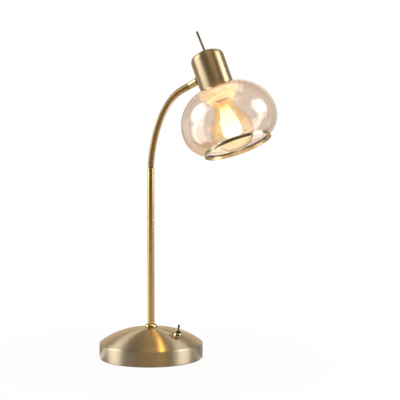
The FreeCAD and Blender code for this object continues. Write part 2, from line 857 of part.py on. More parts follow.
def make_cup(frame):
    hole = s.rod_spigot_radius + s.hole_play
    outer_meet = cup_meeting(s.cup_crown_radius)
    inner_crown = s.cup_crown_radius - s.cup_wall
    inner_meet = cup_meeting(inner_crown)
    body = turned("socket_cup", [
        (hole, cup_crown_level + side_of(s.cup_crown_radius, hole), s.cup_crown_radius, -1),
        (*outer_meet, s.cup_corner_radius, -1),
        (s.cup_radius, cup_corner_level),
        (s.cup_radius, -s.cup_bottom),
        (cup_inner, -s.cup_bottom),
        (cup_inner, cup_corner_level, s.cup_corner_radius - s.cup_wall, 1),
        (*inner_meet, inner_crown, 1),
        (hole, cup_crown_level + side_of(inner_crown, hole)),
    ], frame)
    sketch = new_sketch(body, "swivel_hole", "YZ_Plane")
    draw_circle(sketch, ON_AXIS, ON_AXIS, s.swivel_radius + s.swivel_clearance)
    pocket = body.newObject("PartDesign::Pocket", "swivel_hole_cut")
    pocket.Profile = sketch
    pocket.Type = "ThroughAll"
    before = body.Shape.Volume
    doc.recompute()
    in_wall = Vector(s.cup_wall.value / 2.0 - s.cup_radius.value, 0, 0)
    if body.Shape.Volume >= before or body.Shape.isInside(in_wall, 0.01, True):
        pocket.Reversed = True
        doc.recompute()
    return body


def make_rod(frame):
    """The thin handle rod: a threaded spigot on the cup's axis and a rod that leans a little."""
    spigot_low = s.cup_top - s.rod_spigot_length
    spigot = doc.addObject("Part::Cylinder", "rod_spigot")
    spigot.setExpression("Radius", s.rod_spigot_radius.text)
    spigot.setExpression("Height", s.rod_spigot_length.text)
    spigot.Placement = Placement(Vector(0, 0, spigot_low.value), Rotation())
    shaft = doc.addObject("Part::Cylinder", "rod_shaft")
    shaft.setExpression("Radius", s.rod_radius.text)
    shaft.setExpression("Height", (s.rod_length + s.rod_lap).text)
    shaft.Placement = Placement(Vector(0, 0, s.cup_top.value - s.rod_lap.value),
                                Rotation(Vector(0, 1, 0), -s.rod_lean.value))
    rod = doc.addObject("Part::Fuse", "handle_rod")
    rod.Base = spigot
    rod.Tool = shaft
    rod.Label = "handle_rod"
    rod.Placement = frame
    doc.recompute()
    return rod


bracket_corner = root(s.bracket_half_span * s.bracket_half_span + s.bracket_width * s.bracket_width / 4.0)
bracket_top = cup_crown_level + side_of(s.cup_crown_radius - s.cup_wall, bracket_corner) - FACE_GAP
bracket_foot = -(s.holder_top - FACE_GAP)


def make_bracket(frame):
    """An upside-down U strap: clamped under the cup's crown, its feet carry the lampholder."""
    thick = s.bracket_thickness
    span = s.bracket_half_span
    reach = s.bracket_foot_reach
    foot_top = bracket_foot + thick
    body = new_body("socket_bracket", frame)
    sketch = new_sketch(body, "bracket_outline", "YZ_Plane")
    draw_outline(sketch, [
        (-reach, bracket_foot), (thick - span, bracket_foot), (thick - span, bracket_top - thick),
        (span - thick, bracket_top - thick), (span - thick, bracket_foot), (reach, bracket_foot),
        (reach, foot_top), (span, foot_top), (span, bracket_top), (-span, bracket_top),
        (-span, foot_top), (-reach, foot_top)])
    pad = body.newObject("PartDesign::Pad", "bracket_pad")
    pad.Profile = sketch
    pad.SideType = "Symmetric"
    pad.setExpression("Length", s.bracket_width.text)
    doc.recompute()
    holes = new_sketch(body, "bracket_holes", "XY_Plane")
    draw_circle(holes, ON_AXIS, ON_AXIS, s.rod_spigot_radius + s.hole_play)
    for side in (-1.0, 1.0):
        draw_circle(holes, ON_AXIS, s.bracket_screw_place * side, s.bracket_screw_radius + s.close_play)
    cut_through(body, "bracket_holes_cut", holes)
    return body


def make_bracket_screws(frame):
    """The two screws of the bracket's feet, as one node of two solids."""
    low = bracket_foot - s.bracket_screw_length
    head_low = bracket_foot + s.bracket_thickness + FACE_GAP
    screws = []
    for side in (-1.0, 1.0):
        place = Vector(0, s.bracket_screw_place.value * side, 0)
        shank = Part.makeCylinder(s.bracket_screw_radius.value, head_low.value - low.value,
                                  place + Vector(0, 0, low.value))
        head_height, dome_radius = s.bracket_screw_head_height.value, s.bracket_screw_dome.value
        seat = place + Vector(0, 0, head_low.value)
        head = Part.makeCylinder(s.bracket_screw_head.value, head_height, seat)
        dome = Part.makeSphere(dome_radius, seat + Vector(0, 0, head_height - dome_radius))
        screws.append(shank.fuse(head.common(dome)).removeSplitter())
    item = doc.addObject("Part::Feature", "bracket_screws")
    item.Shape = Part.Compound(screws)
    item.Placement = frame
    return item


def make_lampholder(frame):
    """The insulating body, its threaded shell, its centre contact and the ring that holds the glass."""
    top = -s.holder_top
    shoulder = -s.holder_shoulder
    mouth = -s.holder_mouth
    floor = -s.holder_floor
    body = turned("lampholder_body", [
        (ON_AXIS, floor),
        (s.holder_cavity_radius, floor),
        (s.holder_cavity_radius, mouth),
        (s.holder_nose_radius - s.wide_bevel, mouth),
        (s.holder_nose_radius, mouth + s.wide_bevel),
        (s.holder_nose_radius, shoulder),
        (s.holder_radius, shoulder + s.holder_shoulder_drop),
        (s.holder_radius, top - s.holder_edge),
        (s.holder_radius - s.holder_edge, top),
        (ON_AXIS, top),
    ], frame)
    holes = new_sketch(body, "holder_screw_holes", "XY_Plane")
    for side in (-1.0, 1.0):
        draw_circle(holes, ON_AXIS, s.bracket_screw_place * side, s.bracket_screw_radius + s.close_play)
    pocket = body.newObject("PartDesign::Pocket", "holder_screw_holes_cut")
    pocket.Profile = holes
    pocket.SideType = "Symmetric"
    pocket.setExpression("Length", (2.0 * (s.holder_top + s.holder_screw_depth)).text)
    doc.recompute()
    shell_high = floor - s.thread_shell_drop
    shell_low = shell_high - s.thread_shell_length
    shell = tube("thread_shell", s.thread_shell_radius, s.thread_shell_radius - s.thread_shell_wall,
                 shell_low, shell_high, frame)
    flange = new_sketch(shell, "thread_shell_flange_outline", "XY_Plane", raised(shell_high))
    tie_height(flange, shell_high)
    draw_circle(flange, ON_AXIS, ON_AXIS, s.holder_cavity_radius - s.seat_play)
    draw_circle(flange, ON_AXIS, ON_AXIS, s.thread_shell_radius - s.thread_shell_wall)
    pad = shell.newObject("PartDesign::Pad", "thread_shell_flange")
    pad.Profile = flange
    pad.setExpression("Length", (floor - shell_high - FACE_GAP).text)
    doc.recompute()
    contact_low = floor - s.contact_height
    contact = turned("centre_contact", [
        (ON_AXIS, contact_low),
        (s.contact_radius - s.contact_bevel, contact_low),
        (s.contact_radius, contact_low + s.contact_bevel),
        (s.contact_radius, floor - FACE_GAP),
        (ON_AXIS, floor - FACE_GAP),
    ], frame)
    return [body, shell, contact, make_shade_ring(frame)]


# The globe's outline in the head frame: a crown, a shoulder and a belly arc on one equator.
shoulder_centre = s.globe_radius - s.globe_shoulder_radius
crown_span = s.globe_crown_radius - s.globe_shoulder_radius
crown_level = -s.cup_bottom - s.globe_seat_gap - side_of(s.globe_crown_radius, s.cup_radius)
equator = crown_level + side_of(crown_span, shoulder_centre)
mouth_level = equator - s.mouth_fall
ring_radius = s.globe_radius * s.mouth_share
globe_foot_radius = ring_radius - s.ring_wall - s.seat_gap
globe_foot = mouth_level + s.ring_height
belly_run = s.globe_radius - globe_foot_radius
belly_fall = equator - globe_foot
belly_radius = (belly_run * belly_run + belly_fall * belly_fall) / (2.0 * belly_run)
belly_centre = s.globe_radius - belly_radius


def globe_meeting(offset):
    """Where the crown arc meets the shoulder arc, on the outer face or an offset one."""
    share = (s.globe_crown_radius - offset) / crown_span
    return shoulder_centre * share, crown_level + (equator - crown_level) * share


def crown_face(offset, radius):
    """Height of the globe's crown, on the outer face or an offset one."""
    return crown_level + side_of(s.globe_crown_radius - offset, as_dim(radius))


def make_globe(frame):
    wall = s.globe_wall
    outer_meet = globe_meeting(as_dim(0.0))
    inner_meet = globe_meeting(wall)
    inner_belly = belly_radius - wall
    inner_share = inner_belly / belly_radius
    inner_foot = belly_centre + (globe_foot_radius - belly_centre) * inner_share
    return turned("globe_shade", [
        (s.globe_hole_radius, crown_face(as_dim(0.0), s.globe_hole_radius), s.globe_crown_radius, -1),
        (*outer_meet, s.globe_shoulder_radius, -1),
        (s.globe_radius, equator, belly_radius, -1),
        (globe_foot_radius, globe_foot),
        (inner_foot, equator - belly_fall * inner_share, inner_belly, 1),
        (s.globe_radius - wall, equator, s.globe_shoulder_radius - wall, 1),
        (*inner_meet, s.globe_crown_radius - wall, 1),
        (s.globe_hole_radius, crown_face(wall, s.globe_hole_radius)),
    ], frame)


flange_top = crown_face(s.globe_wall, s.shade_ring_radius) - s.seat_gap


def make_shade_ring(frame):
    """The translucent ring that screws onto the lampholder and presses the glass to the cup."""
    bore = s.holder_radius + s.shade_ring_clearance
    flange_low = flange_top - s.shade_ring_flange
    nose = flange_top - s.shade_ring_height
    return turned("shade_ring", [
        (bore, nose),
        (s.shade_ring_nose, nose),
        (s.shade_ring_skirt, flange_low),
        (s.shade_ring_radius - s.edge_bevel, flange_low),
        (s.shade_ring_radius, flange_low + s.edge_bevel),
        (s.shade_ring_radius, flange_top),
        (bore, flange_top),
    ], frame)


def make_gasket(frame):
    """Soft seat ring between the cup's edge and the glass, hidden inside the cup."""
    low = crown_face(as_dim(0.0), s.globe_hole_radius) + s.gasket_gap
    outer = cup_inner - s.loose_play
    return tube("glass_gasket", outer, s.holder_radius + s.loose_play, low, low + s.gasket_thickness, frame)


def make_mouth_ring(frame):
    """The brass rim of the mouth: a thin band with a ledge inside that the glass's edge stands on."""
    top = mouth_level + s.ring_height
    inner = ring_radius - s.ring_wall
    ledge_top = top - s.ledge_drop
    return turned("mouth_ring", [
        (inner, mouth_level),
        (ring_radius - s.fine_bevel, mouth_level),
        (ring_radius, mouth_level + s.fine_bevel),
        (ring_radius, top - s.fine_bevel),
        (ring_radius - s.fine_bevel, top),
        (inner, top),
        (inner, ledge_top),
        (ring_radius - s.ring_ledge, ledge_top),
        (ring_radius - s.ring_ledge, ledge_top - s.ring_wall),
        (inner, ledge_top - s.ring_wall),
    ], frame)


bulb_centre = -(s.bulb_tip_drop - s.bulb_radius)
bulb_end = -(s.bulb_tip_drop - s.bulb_length)
neck_curve_centre = s.bulb_neck_radius + s.bulb_neck_curve
neck_curve_level = bulb_centre + side_of(s.bulb_radius + s.bulb_neck_curve, neck_curve_centre)
insulator_high = bulb_end - s.bulb_contact_height
cap_high = insulator_high - s.bulb_insulator_height
cap_low = cap_high - s.bulb_cap_length


def bulb_meeting(offset):
    """Where the bulb's sphere meets the hollow curve of its neck."""
    share = (s.bulb_radius - offset) / (s.bulb_radius + s.bulb_neck_curve)
    return neck_curve_centre * share, bulb_centre + (neck_curve_level - bulb_centre) * share


def make_bulb(frame):
    """The light bulb: envelope, cap, insulator, contact, glass mount and filaments."""
    wall = s.bulb_wall
    outer_meet = bulb_meeting(as_dim(0.0))
    inner_meet = bulb_meeting(wall)
    neck_high = cap_low - FACE_GAP
    inner_radius = s.bulb_radius - wall
    glass = turned("bulb_glass", [
        (ON_AXIS, bulb_centre - s.bulb_radius, s.bulb_radius, 1),
        (s.bulb_radius, bulb_centre, s.bulb_radius, 1),
        (*outer_meet, s.bulb_neck_curve, -1),
        (s.bulb_neck_radius, neck_curve_level),
        (s.bulb_neck_radius, neck_high),
        (s.bulb_neck_radius - wall, neck_high),
        (s.bulb_neck_radius - wall, neck_curve_level, s.bulb_neck_curve + wall, 1),
        (*inner_meet, inner_radius, -1),
        (inner_radius, bulb_centre, inner_radius, -1),
        (ON_AXIS, bulb_centre - inner_radius),
    ], frame)
    cap_hollow = s.bulb_cap_radius - s.bulb_cap_wall
    cap = turned("bulb_cap", [
        (s.bulb_cap_radius - s.bulb_cap_lip, cap_low), (s.bulb_neck_radius - s.edge_bevel, cap_low),
        (s.bulb_cap_radius, cap_low + s.bulb_cap_foot), (s.bulb_cap_radius, cap_high - s.bulb_cap_cone),
        (s.bulb_cap_top_radius, cap_high), (s.bulb_cap_top_radius - s.bulb_cap_wall, cap_high),
        (cap_hollow, cap_high - s.bulb_cap_inner_cone), (cap_hollow, cap_low + s.bulb_cap_inner_foot)], frame)
    insulator = turned("bulb_insulator", [
        (ON_AXIS, cap_high + FACE_GAP), (s.bulb_insulator_radius, cap_high + FACE_GAP),
        (s.bulb_contact_radius + s.wide_bevel, insulator_high), (ON_AXIS, insulator_high)], frame)
    contact = turned("bulb_contact", [
        (ON_AXIS, insulator_high + FACE_GAP), (s.bulb_contact_radius, insulator_high + FACE_GAP),
        (s.bulb_contact_radius - s.bulb_contact_bevel, bulb_end), (ON_AXIS, bulb_end)], frame)
    return [glass, cap, insulator, contact, make_bulb_mount(frame), make_filaments(frame)]


def make_bulb_mount(frame):
    """The glass stem inside the bulb that carries the filaments, flared where it meets the neck."""
    flare_radius = s.bulb_neck_radius - s.bulb_wall - s.hole_play
    flare_high = cap_low - s.mount_gap
    flare_low = flare_high - s.mount_flare_height
    tip = -(s.filament_drop + s.mount_tip)
    return turned("bulb_mount", [
        (ON_AXIS, tip), (s.mount_radius - s.mount_tip_bevel, tip), (s.mount_radius, tip + s.mount_tip_rise),
        (s.mount_radius, flare_low - s.mount_neck_low),
        (s.mount_radius + s.mount_swell, flare_low - s.mount_neck_high),
        (flare_radius, flare_low), (flare_radius, flare_high), (ON_AXIS, flare_high)], frame)


def make_filaments(frame):
    """The light strips, spread a little like a tent round the mount, and the hub that joins them."""
    strips = []
    top = -s.filament_drop.value
    hub = Part.makeCylinder(s.filament_circle.value + s.filament_radius.value, s.hub_height.value,
                            Vector(0, 0, top + s.hub_lift.value))
    hole = Part.makeCylinder(s.mount_radius.value + s.close_play.value, s.hub_hole_height.value,
                             Vector(0, 0, top - s.hub_hole_drop.value))
    strips.append(hub.cut(hole))
    for index in range(FILAMENTS):
        strip = Part.makeCylinder(s.filament_radius.value, s.filament_length.value)
        strip.rotate(Vector(0, 0, 0), Vector(0, 1, 0), HALF_TURN - s.filament_splay.value)
        strip.translate(Vector(s.filament_circle.value, 0, top + s.strip_lap.value))
        strip.rotate(Vector(0, 0, 0), Vector(0, 0, 1), FULL_TURN * (index + 0.5) / FILAMENTS)
        strips.append(strip)
    joined = strips[0]
    for strip in strips[1:]:
        joined = joined.fuse(strip)
    item = doc.addObject("Part::Feature", "bulb_filaments")
    item.Shape = joined
    item.Placement = frame
    return item


def make_switch():
    """The toggle switch on the foot: its frame's Z is the dome's normal and X points outwards."""
    frame = switch_frame
    inside = -s.shell_wall
    case_top = -s.switch_case_drop
    bush_high = s.switch_nut_height + s.hole_play
    case = prism("switch_case", rectangle(s.switch_case_length, s.switch_case_width),
                 case_top - s.switch_case_height, s.switch_case_height, None, frame)
    pivot = s.lever_pivot_height
    seat_radius = s.lever_ball_radius + s.lever_ball_clearance
    mouth = s.bush_head_radius - s.bush_mouth_wall
    rim_top = bush_high + s.bush_head_height
    bush = turned("switch_bush", [
        (ON_AXIS, case_top + FACE_GAP),
        (s.bush_radius, case_top + FACE_GAP),
        (s.bush_radius, bush_high),
        (s.bush_head_radius, bush_high),
        (s.bush_head_radius, rim_top - s.fine_bevel),
        (s.bush_head_radius - s.fine_bevel, rim_top),
        (mouth, rim_top),
        (seat_radius, pivot, seat_radius, -1),
        (ON_AXIS, pivot - seat_radius),
    ], frame)
    nut = turned("switch_dress_nut", [
        (s.bush_radius + s.close_play, s.switch_nut_gap),
        (s.switch_nut_radius - s.edge_bevel, s.switch_nut_gap),
        (s.switch_nut_radius, s.switch_nut_gap + s.edge_bevel, s.switch_nut_bulge, 1),
        (s.switch_nut_top_radius, s.switch_nut_height),
        (s.bush_radius + s.close_play, s.switch_nut_height),
    ], frame)
    lock = prism("switch_lock_nut", hexagon(s.lock_nut_width), inside - s.lock_nut_height - s.loose_play,
                 s.lock_nut_height, s.bush_radius + s.close_play, frame)
    return [case, bush, nut, lock, make_terminals(), make_lever()]


def make_terminals():
    """The three solder tags under the switch, as one node of three solids."""
    top = -(s.switch_case_drop + s.switch_case_height).value - FACE_GAP
    tags = []
    for index in (-1, 0, 1):
        tag = Part.makeBox(s.terminal_thickness.value, s.terminal_width.value, s.terminal_length.value)
        tag.translate(Vector(index * s.terminal_pitch.value - s.terminal_thickness.value / 2,
                             -s.terminal_width.value / 2, top - s.terminal_length.value))
        tags.append(tag)
    item = doc.addObject("Part::Feature", "switch_terminals")
    item.Shape = Part.Compound(tags)
    item.Placement = switch_frame
    return item


def make_lever():
    """The bat lever, thrown towards the stem at rest, on a ball inside the bush."""
    ball = s.lever_ball_radius
    waist = s.lever_waist_radius
    tip = s.lever_tip_radius
    reach = s.lever_reach - s.lever_pivot_height
    throw = Placement(Vector(0, 0, s.lever_pivot_height.value),
                      Rotation(Vector(0, 1, 0), -s.lever_throw.value))
    return turned("switch_lever", [
        (ON_AXIS, -ball, ball, 1),
        (ball, ON_AXIS, ball, 1),
        (waist, side_of(ball, waist)),
        (tip, reach - tip, tip, 1),
        (ON_AXIS, reach),
    ], switch_frame.multiply(throw))


def make_neck():
    frames = neck_frames()
    pieces = [make_neck_foot()]
    for number in range(1, LINKS + 1):
        pieces.append(make_link(number, frames[number - 1]))
    return pieces + make_ferrule(frames[LINKS]) + [make_swivel_washer(frames[LINKS])]


def head_frame():
    end = neck_frames()[LINKS]
    lean = sum(bend_shares())
    turn = Rotation(Vector(0, 1, 0), lean - QUARTER_TURN)
    return Placement(end.multVec(Vector(0, 0, head_reach.value)), turn)


def make_head():
    frame = head_frame()
    nut_high = bracket_top - s.bracket_thickness - FACE_GAP
    rod_nut = prism("rod_nut", hexagon(s.rod_nut_width), nut_high - s.rod_nut_height, s.rod_nut_height,
                    s.rod_spigot_radius + s.close_play, frame)
    return [make_cup(frame), make_rod(frame), rod_nut, make_bracket(frame), make_bracket_screws(frame),
            *make_lampholder(frame), make_gasket(frame), make_globe(frame), make_mouth_ring(frame),
            *make_bulb(frame)]


def check_and_export(pieces):
    """Stops on any failed object or bad shape, then writes one file for each piece."""
    doc.recompute()
    for item in doc.Objects:
        if "Invalid" in item.State or "Error" in item.State:
            raise RuntimeError(f"{item.Label} failed: {item.State}")
    for piece in pieces:
        if piece.Shape.isNull() or not piece.Shape.isValid() or not piece.Shape.Solids:
            raise RuntimeError(f"{piece.Label} has a bad shape")
    os.makedirs("parts", exist_ok=True)
    for piece in pieces:
        piece.Shape.exportStep(f"parts/{piece.Label}.step")
    print(f"{len(pieces)} pieces written")


pieces = make_foot() + make_tie() + make_inlet() + make_stem() + make_neck() + make_head() + make_switch()
check_and_export(pieces)
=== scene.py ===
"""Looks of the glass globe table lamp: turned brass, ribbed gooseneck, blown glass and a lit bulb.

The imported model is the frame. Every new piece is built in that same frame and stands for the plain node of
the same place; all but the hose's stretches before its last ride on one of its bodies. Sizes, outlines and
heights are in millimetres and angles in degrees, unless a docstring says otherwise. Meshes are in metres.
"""

import json
import logging
import math
from dataclasses import dataclass, field
from enum import Enum

import bmesh
import bpy
from mathutils import Matrix, Vector

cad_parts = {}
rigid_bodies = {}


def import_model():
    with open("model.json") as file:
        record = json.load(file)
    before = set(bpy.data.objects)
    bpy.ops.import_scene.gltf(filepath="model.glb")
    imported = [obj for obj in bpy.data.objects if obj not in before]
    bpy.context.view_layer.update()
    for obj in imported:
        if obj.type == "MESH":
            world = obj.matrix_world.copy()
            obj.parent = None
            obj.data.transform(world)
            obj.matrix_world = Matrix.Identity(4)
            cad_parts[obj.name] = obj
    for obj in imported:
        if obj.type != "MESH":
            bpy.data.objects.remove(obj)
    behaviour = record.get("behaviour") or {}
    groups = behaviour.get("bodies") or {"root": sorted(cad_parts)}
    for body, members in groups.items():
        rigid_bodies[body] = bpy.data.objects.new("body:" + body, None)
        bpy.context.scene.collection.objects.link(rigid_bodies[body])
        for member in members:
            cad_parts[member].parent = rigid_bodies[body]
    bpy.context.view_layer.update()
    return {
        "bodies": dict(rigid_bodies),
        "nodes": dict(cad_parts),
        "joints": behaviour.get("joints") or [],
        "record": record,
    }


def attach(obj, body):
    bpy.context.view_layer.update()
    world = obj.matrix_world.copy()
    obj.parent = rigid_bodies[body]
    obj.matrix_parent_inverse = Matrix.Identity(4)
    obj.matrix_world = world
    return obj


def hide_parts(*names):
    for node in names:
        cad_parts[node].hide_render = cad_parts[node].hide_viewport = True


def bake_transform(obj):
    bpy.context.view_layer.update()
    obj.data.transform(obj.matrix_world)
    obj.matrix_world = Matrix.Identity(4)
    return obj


MM = 0.001
TINY = 1e-6
FULL_TURN = 2.0 * math.pi
QUARTER_TURN = math.pi / 2
HERE = Matrix.Identity(4)
UP = Vector((0.0, 0.0, 1.0))
SIDEWAYS = Vector((0.0, 1.0, 0.0))
GROOVE = "groove"
SHARP = 32.0
HOSE_SHARP = 60.0
CRISP, SOFT, MILD, FULL, BROAD = 0.2, 0.3, 0.4, 0.5, 0.6
LOG = logging.getLogger("globe_lamp")

Colour = tuple[float, float, float]
Spot = tuple[float, float]
Mesh = bmesh.types.BMesh
Socket = bpy.types.NodeSocket
Node = bpy.types.Node
Material = bpy.types.Material
Piece = bpy.types.Object

WHITE: Colour = (1.0, 1.0, 1.0)
# Dark brown of the painted shade in the hose's grooves
GROOVE_SHADE: Colour = (0.16, 0.10, 0.05)
NOISE_SPAN: Spot = (0.3, 0.7)


class Brushing(Enum):
    """Which way the fine scratches of a metal run."""

    NONE = "none"
    ROUND = "round"
    ALONG = "along"


# Factors across, round and along the axis, then detail: first the grain, then the clouding
BRUSHED: dict[Brushing, tuple[tuple[float, float, float, float], ...]] = {
    Brushing.ROUND: ((9000.0, 3.0, 9000.0, 2.0), (12.0, 1.6, 12.0, 2.0)),
    Brushing.ALONG: ((900.0, 120.0, 7.0, 3.0), (40.0, 14.0, 2.0, 2.0)),
}
# Scale and detail of the grain and of the clouding on unbrushed metal
UNBRUSHED: tuple[Spot, Spot] = ((900.0, 3.0), (60.0, 2.0))


def side_of(hypotenuse: float, other: float) -> float:
    """Returns the third side of a right-angled triangle."""
    return math.sqrt(max(hypotenuse * hypotenuse - other * other, 0.0))


def turns(count: int) -> list[float]:
    """Returns that many even steps of a full turn, in radians."""
    return [FULL_TURN * index / count for index in range(count)]


def arc(start: Spot, end: Spot, centre: Spot, step: float = 3.0) -> list[Spot]:
    """Points of the shorter arc from start to end, both included.

    Args:
        start: First point, as radius and height.
        end: Last point.
        centre: Centre of the arc.
        step: Largest angle between two points.

    Returns:
        The points in order.
    """
    first = math.atan2(start[1] - centre[1], start[0] - centre[0])
    last = math.atan2(end[1] - centre[1], end[0] - centre[0])
    sweep = (last - first + math.pi) % FULL_TURN - math.pi
    radius = math.hypot(start[0] - centre[0], start[1] - centre[1])
    count = max(2, math.ceil(abs(math.degrees(sweep)) / step))
    angles = [first + sweep * index / count for index in range(count + 1)]
    return [(centre[0] + radius * math.cos(a), centre[1] + radius * math.sin(a)) for a in angles]


def softened(outline: list[tuple[float, ...]], steps: int = 5) -> list[Spot]:
    """Rounds the corners of a closed outline.

    Args:
        outline: Corners as (radius, height) or (radius, height, rounding).
        steps: Points put on each rounding.

    Returns:
        The outline with each rounded corner replaced by a short curve.
    """
    most = 0.48
    spots: list[Spot] = []
    for index, corner in enumerate(outline):
        here = Vector(corner[:2])
        if len(corner) < 3:
            spots.append((here.x, here.y))
            continue
        before = Vector(outline[index - 1][:2]) - here
        after = Vector(outline[(index + 1) % len(outline)][:2]) - here
        reach = min(corner[2], before.length * most, after.length * most)
        start = here + before.normalized() * reach
        end = here + after.normalized() * reach
        for step in range(steps + 1):
            share = step / steps
            curve = start * (1 - share) ** 2 + here * 2 * share * (1 - share) + end * share ** 2
            spots.append((curve.x, curve.y))
    return spots


def join_rings(shape: Mesh, rings: list[list]) -> None:
    """Puts faces between each ring and the next, and the last and the first; one point is a pole."""
    for first, second in zip(rings, rings[1:] + rings[:1]):
        count = max(len(first), len(second))
        if count == 1:
            continue
        for index in range(count):
            following = (index + 1) % count
            corners = [first[index % len(first)], first[following % len(first)],
                       second[following % len(second)], second[index % len(second)]]
            shape.faces.new(list(dict.fromkeys(corners)))


def revolve(shape: Mesh, outline: list[Spot], steps: int, place: Matrix = HERE) -> None:
    """Adds a closed outline of (radius, height), turned about a place's Z axis.

    Args:
        shape: The mesh that gets the faces.
        outline: The outline, whose points on the axis become poles.
        steps: Points round a full turn.
        place: The place in the mesh's own frame.
    """
    rings = []
    for radius, height in outline:
        if radius < TINY:
            rings.append([shape.verts.new(place @ Vector((0.0, 0.0, height * MM)))])
            continue
        rings.append([shape.verts.new(place @ Vector((
            radius * MM * math.cos(angle), radius * MM * math.sin(angle), height * MM)))
            for angle in turns(steps)])
    join_rings(shape, rings)


def finish_mesh(name: str, shape: Mesh, frame: Matrix, sharp: float = SHARP) -> Piece:
    """Turns a bmesh into a smooth-shaded object whose hard edges stay hard.

    Args:
        name: Name of the piece.
        shape: The mesh in the piece's own frame.
        frame: Where that frame stands in the row frame.
        sharp: Edges that turn by more than this stay hard.

    Returns:
        The new object, linked to the scene.
    """
    bmesh.ops.recalc_face_normals(shape, faces=shape.faces)
    for face in shape.faces:
        face.smooth = True
    for edge in shape.edges:
        edge.smooth = len(edge.link_faces) == 2 and edge.calc_face_angle() < math.radians(sharp)
    mesh = bpy.data.meshes.new(name)
    shape.to_mesh(mesh)
    shape.free()
    piece = bpy.data.objects.new(name, mesh)
    bpy.context.scene.collection.objects.link(piece)
    piece.matrix_world = frame
    return piece


def turned(name: str, outline: list[Spot], frame: Matrix = HERE, steps: int = 128) -> Piece:
    """Makes a piece of a closed outline of (radius, height) turned about the frame's Z axis."""
    shape = bmesh.new()
    revolve(shape, outline, steps)
    return finish_mesh(name, shape, frame)


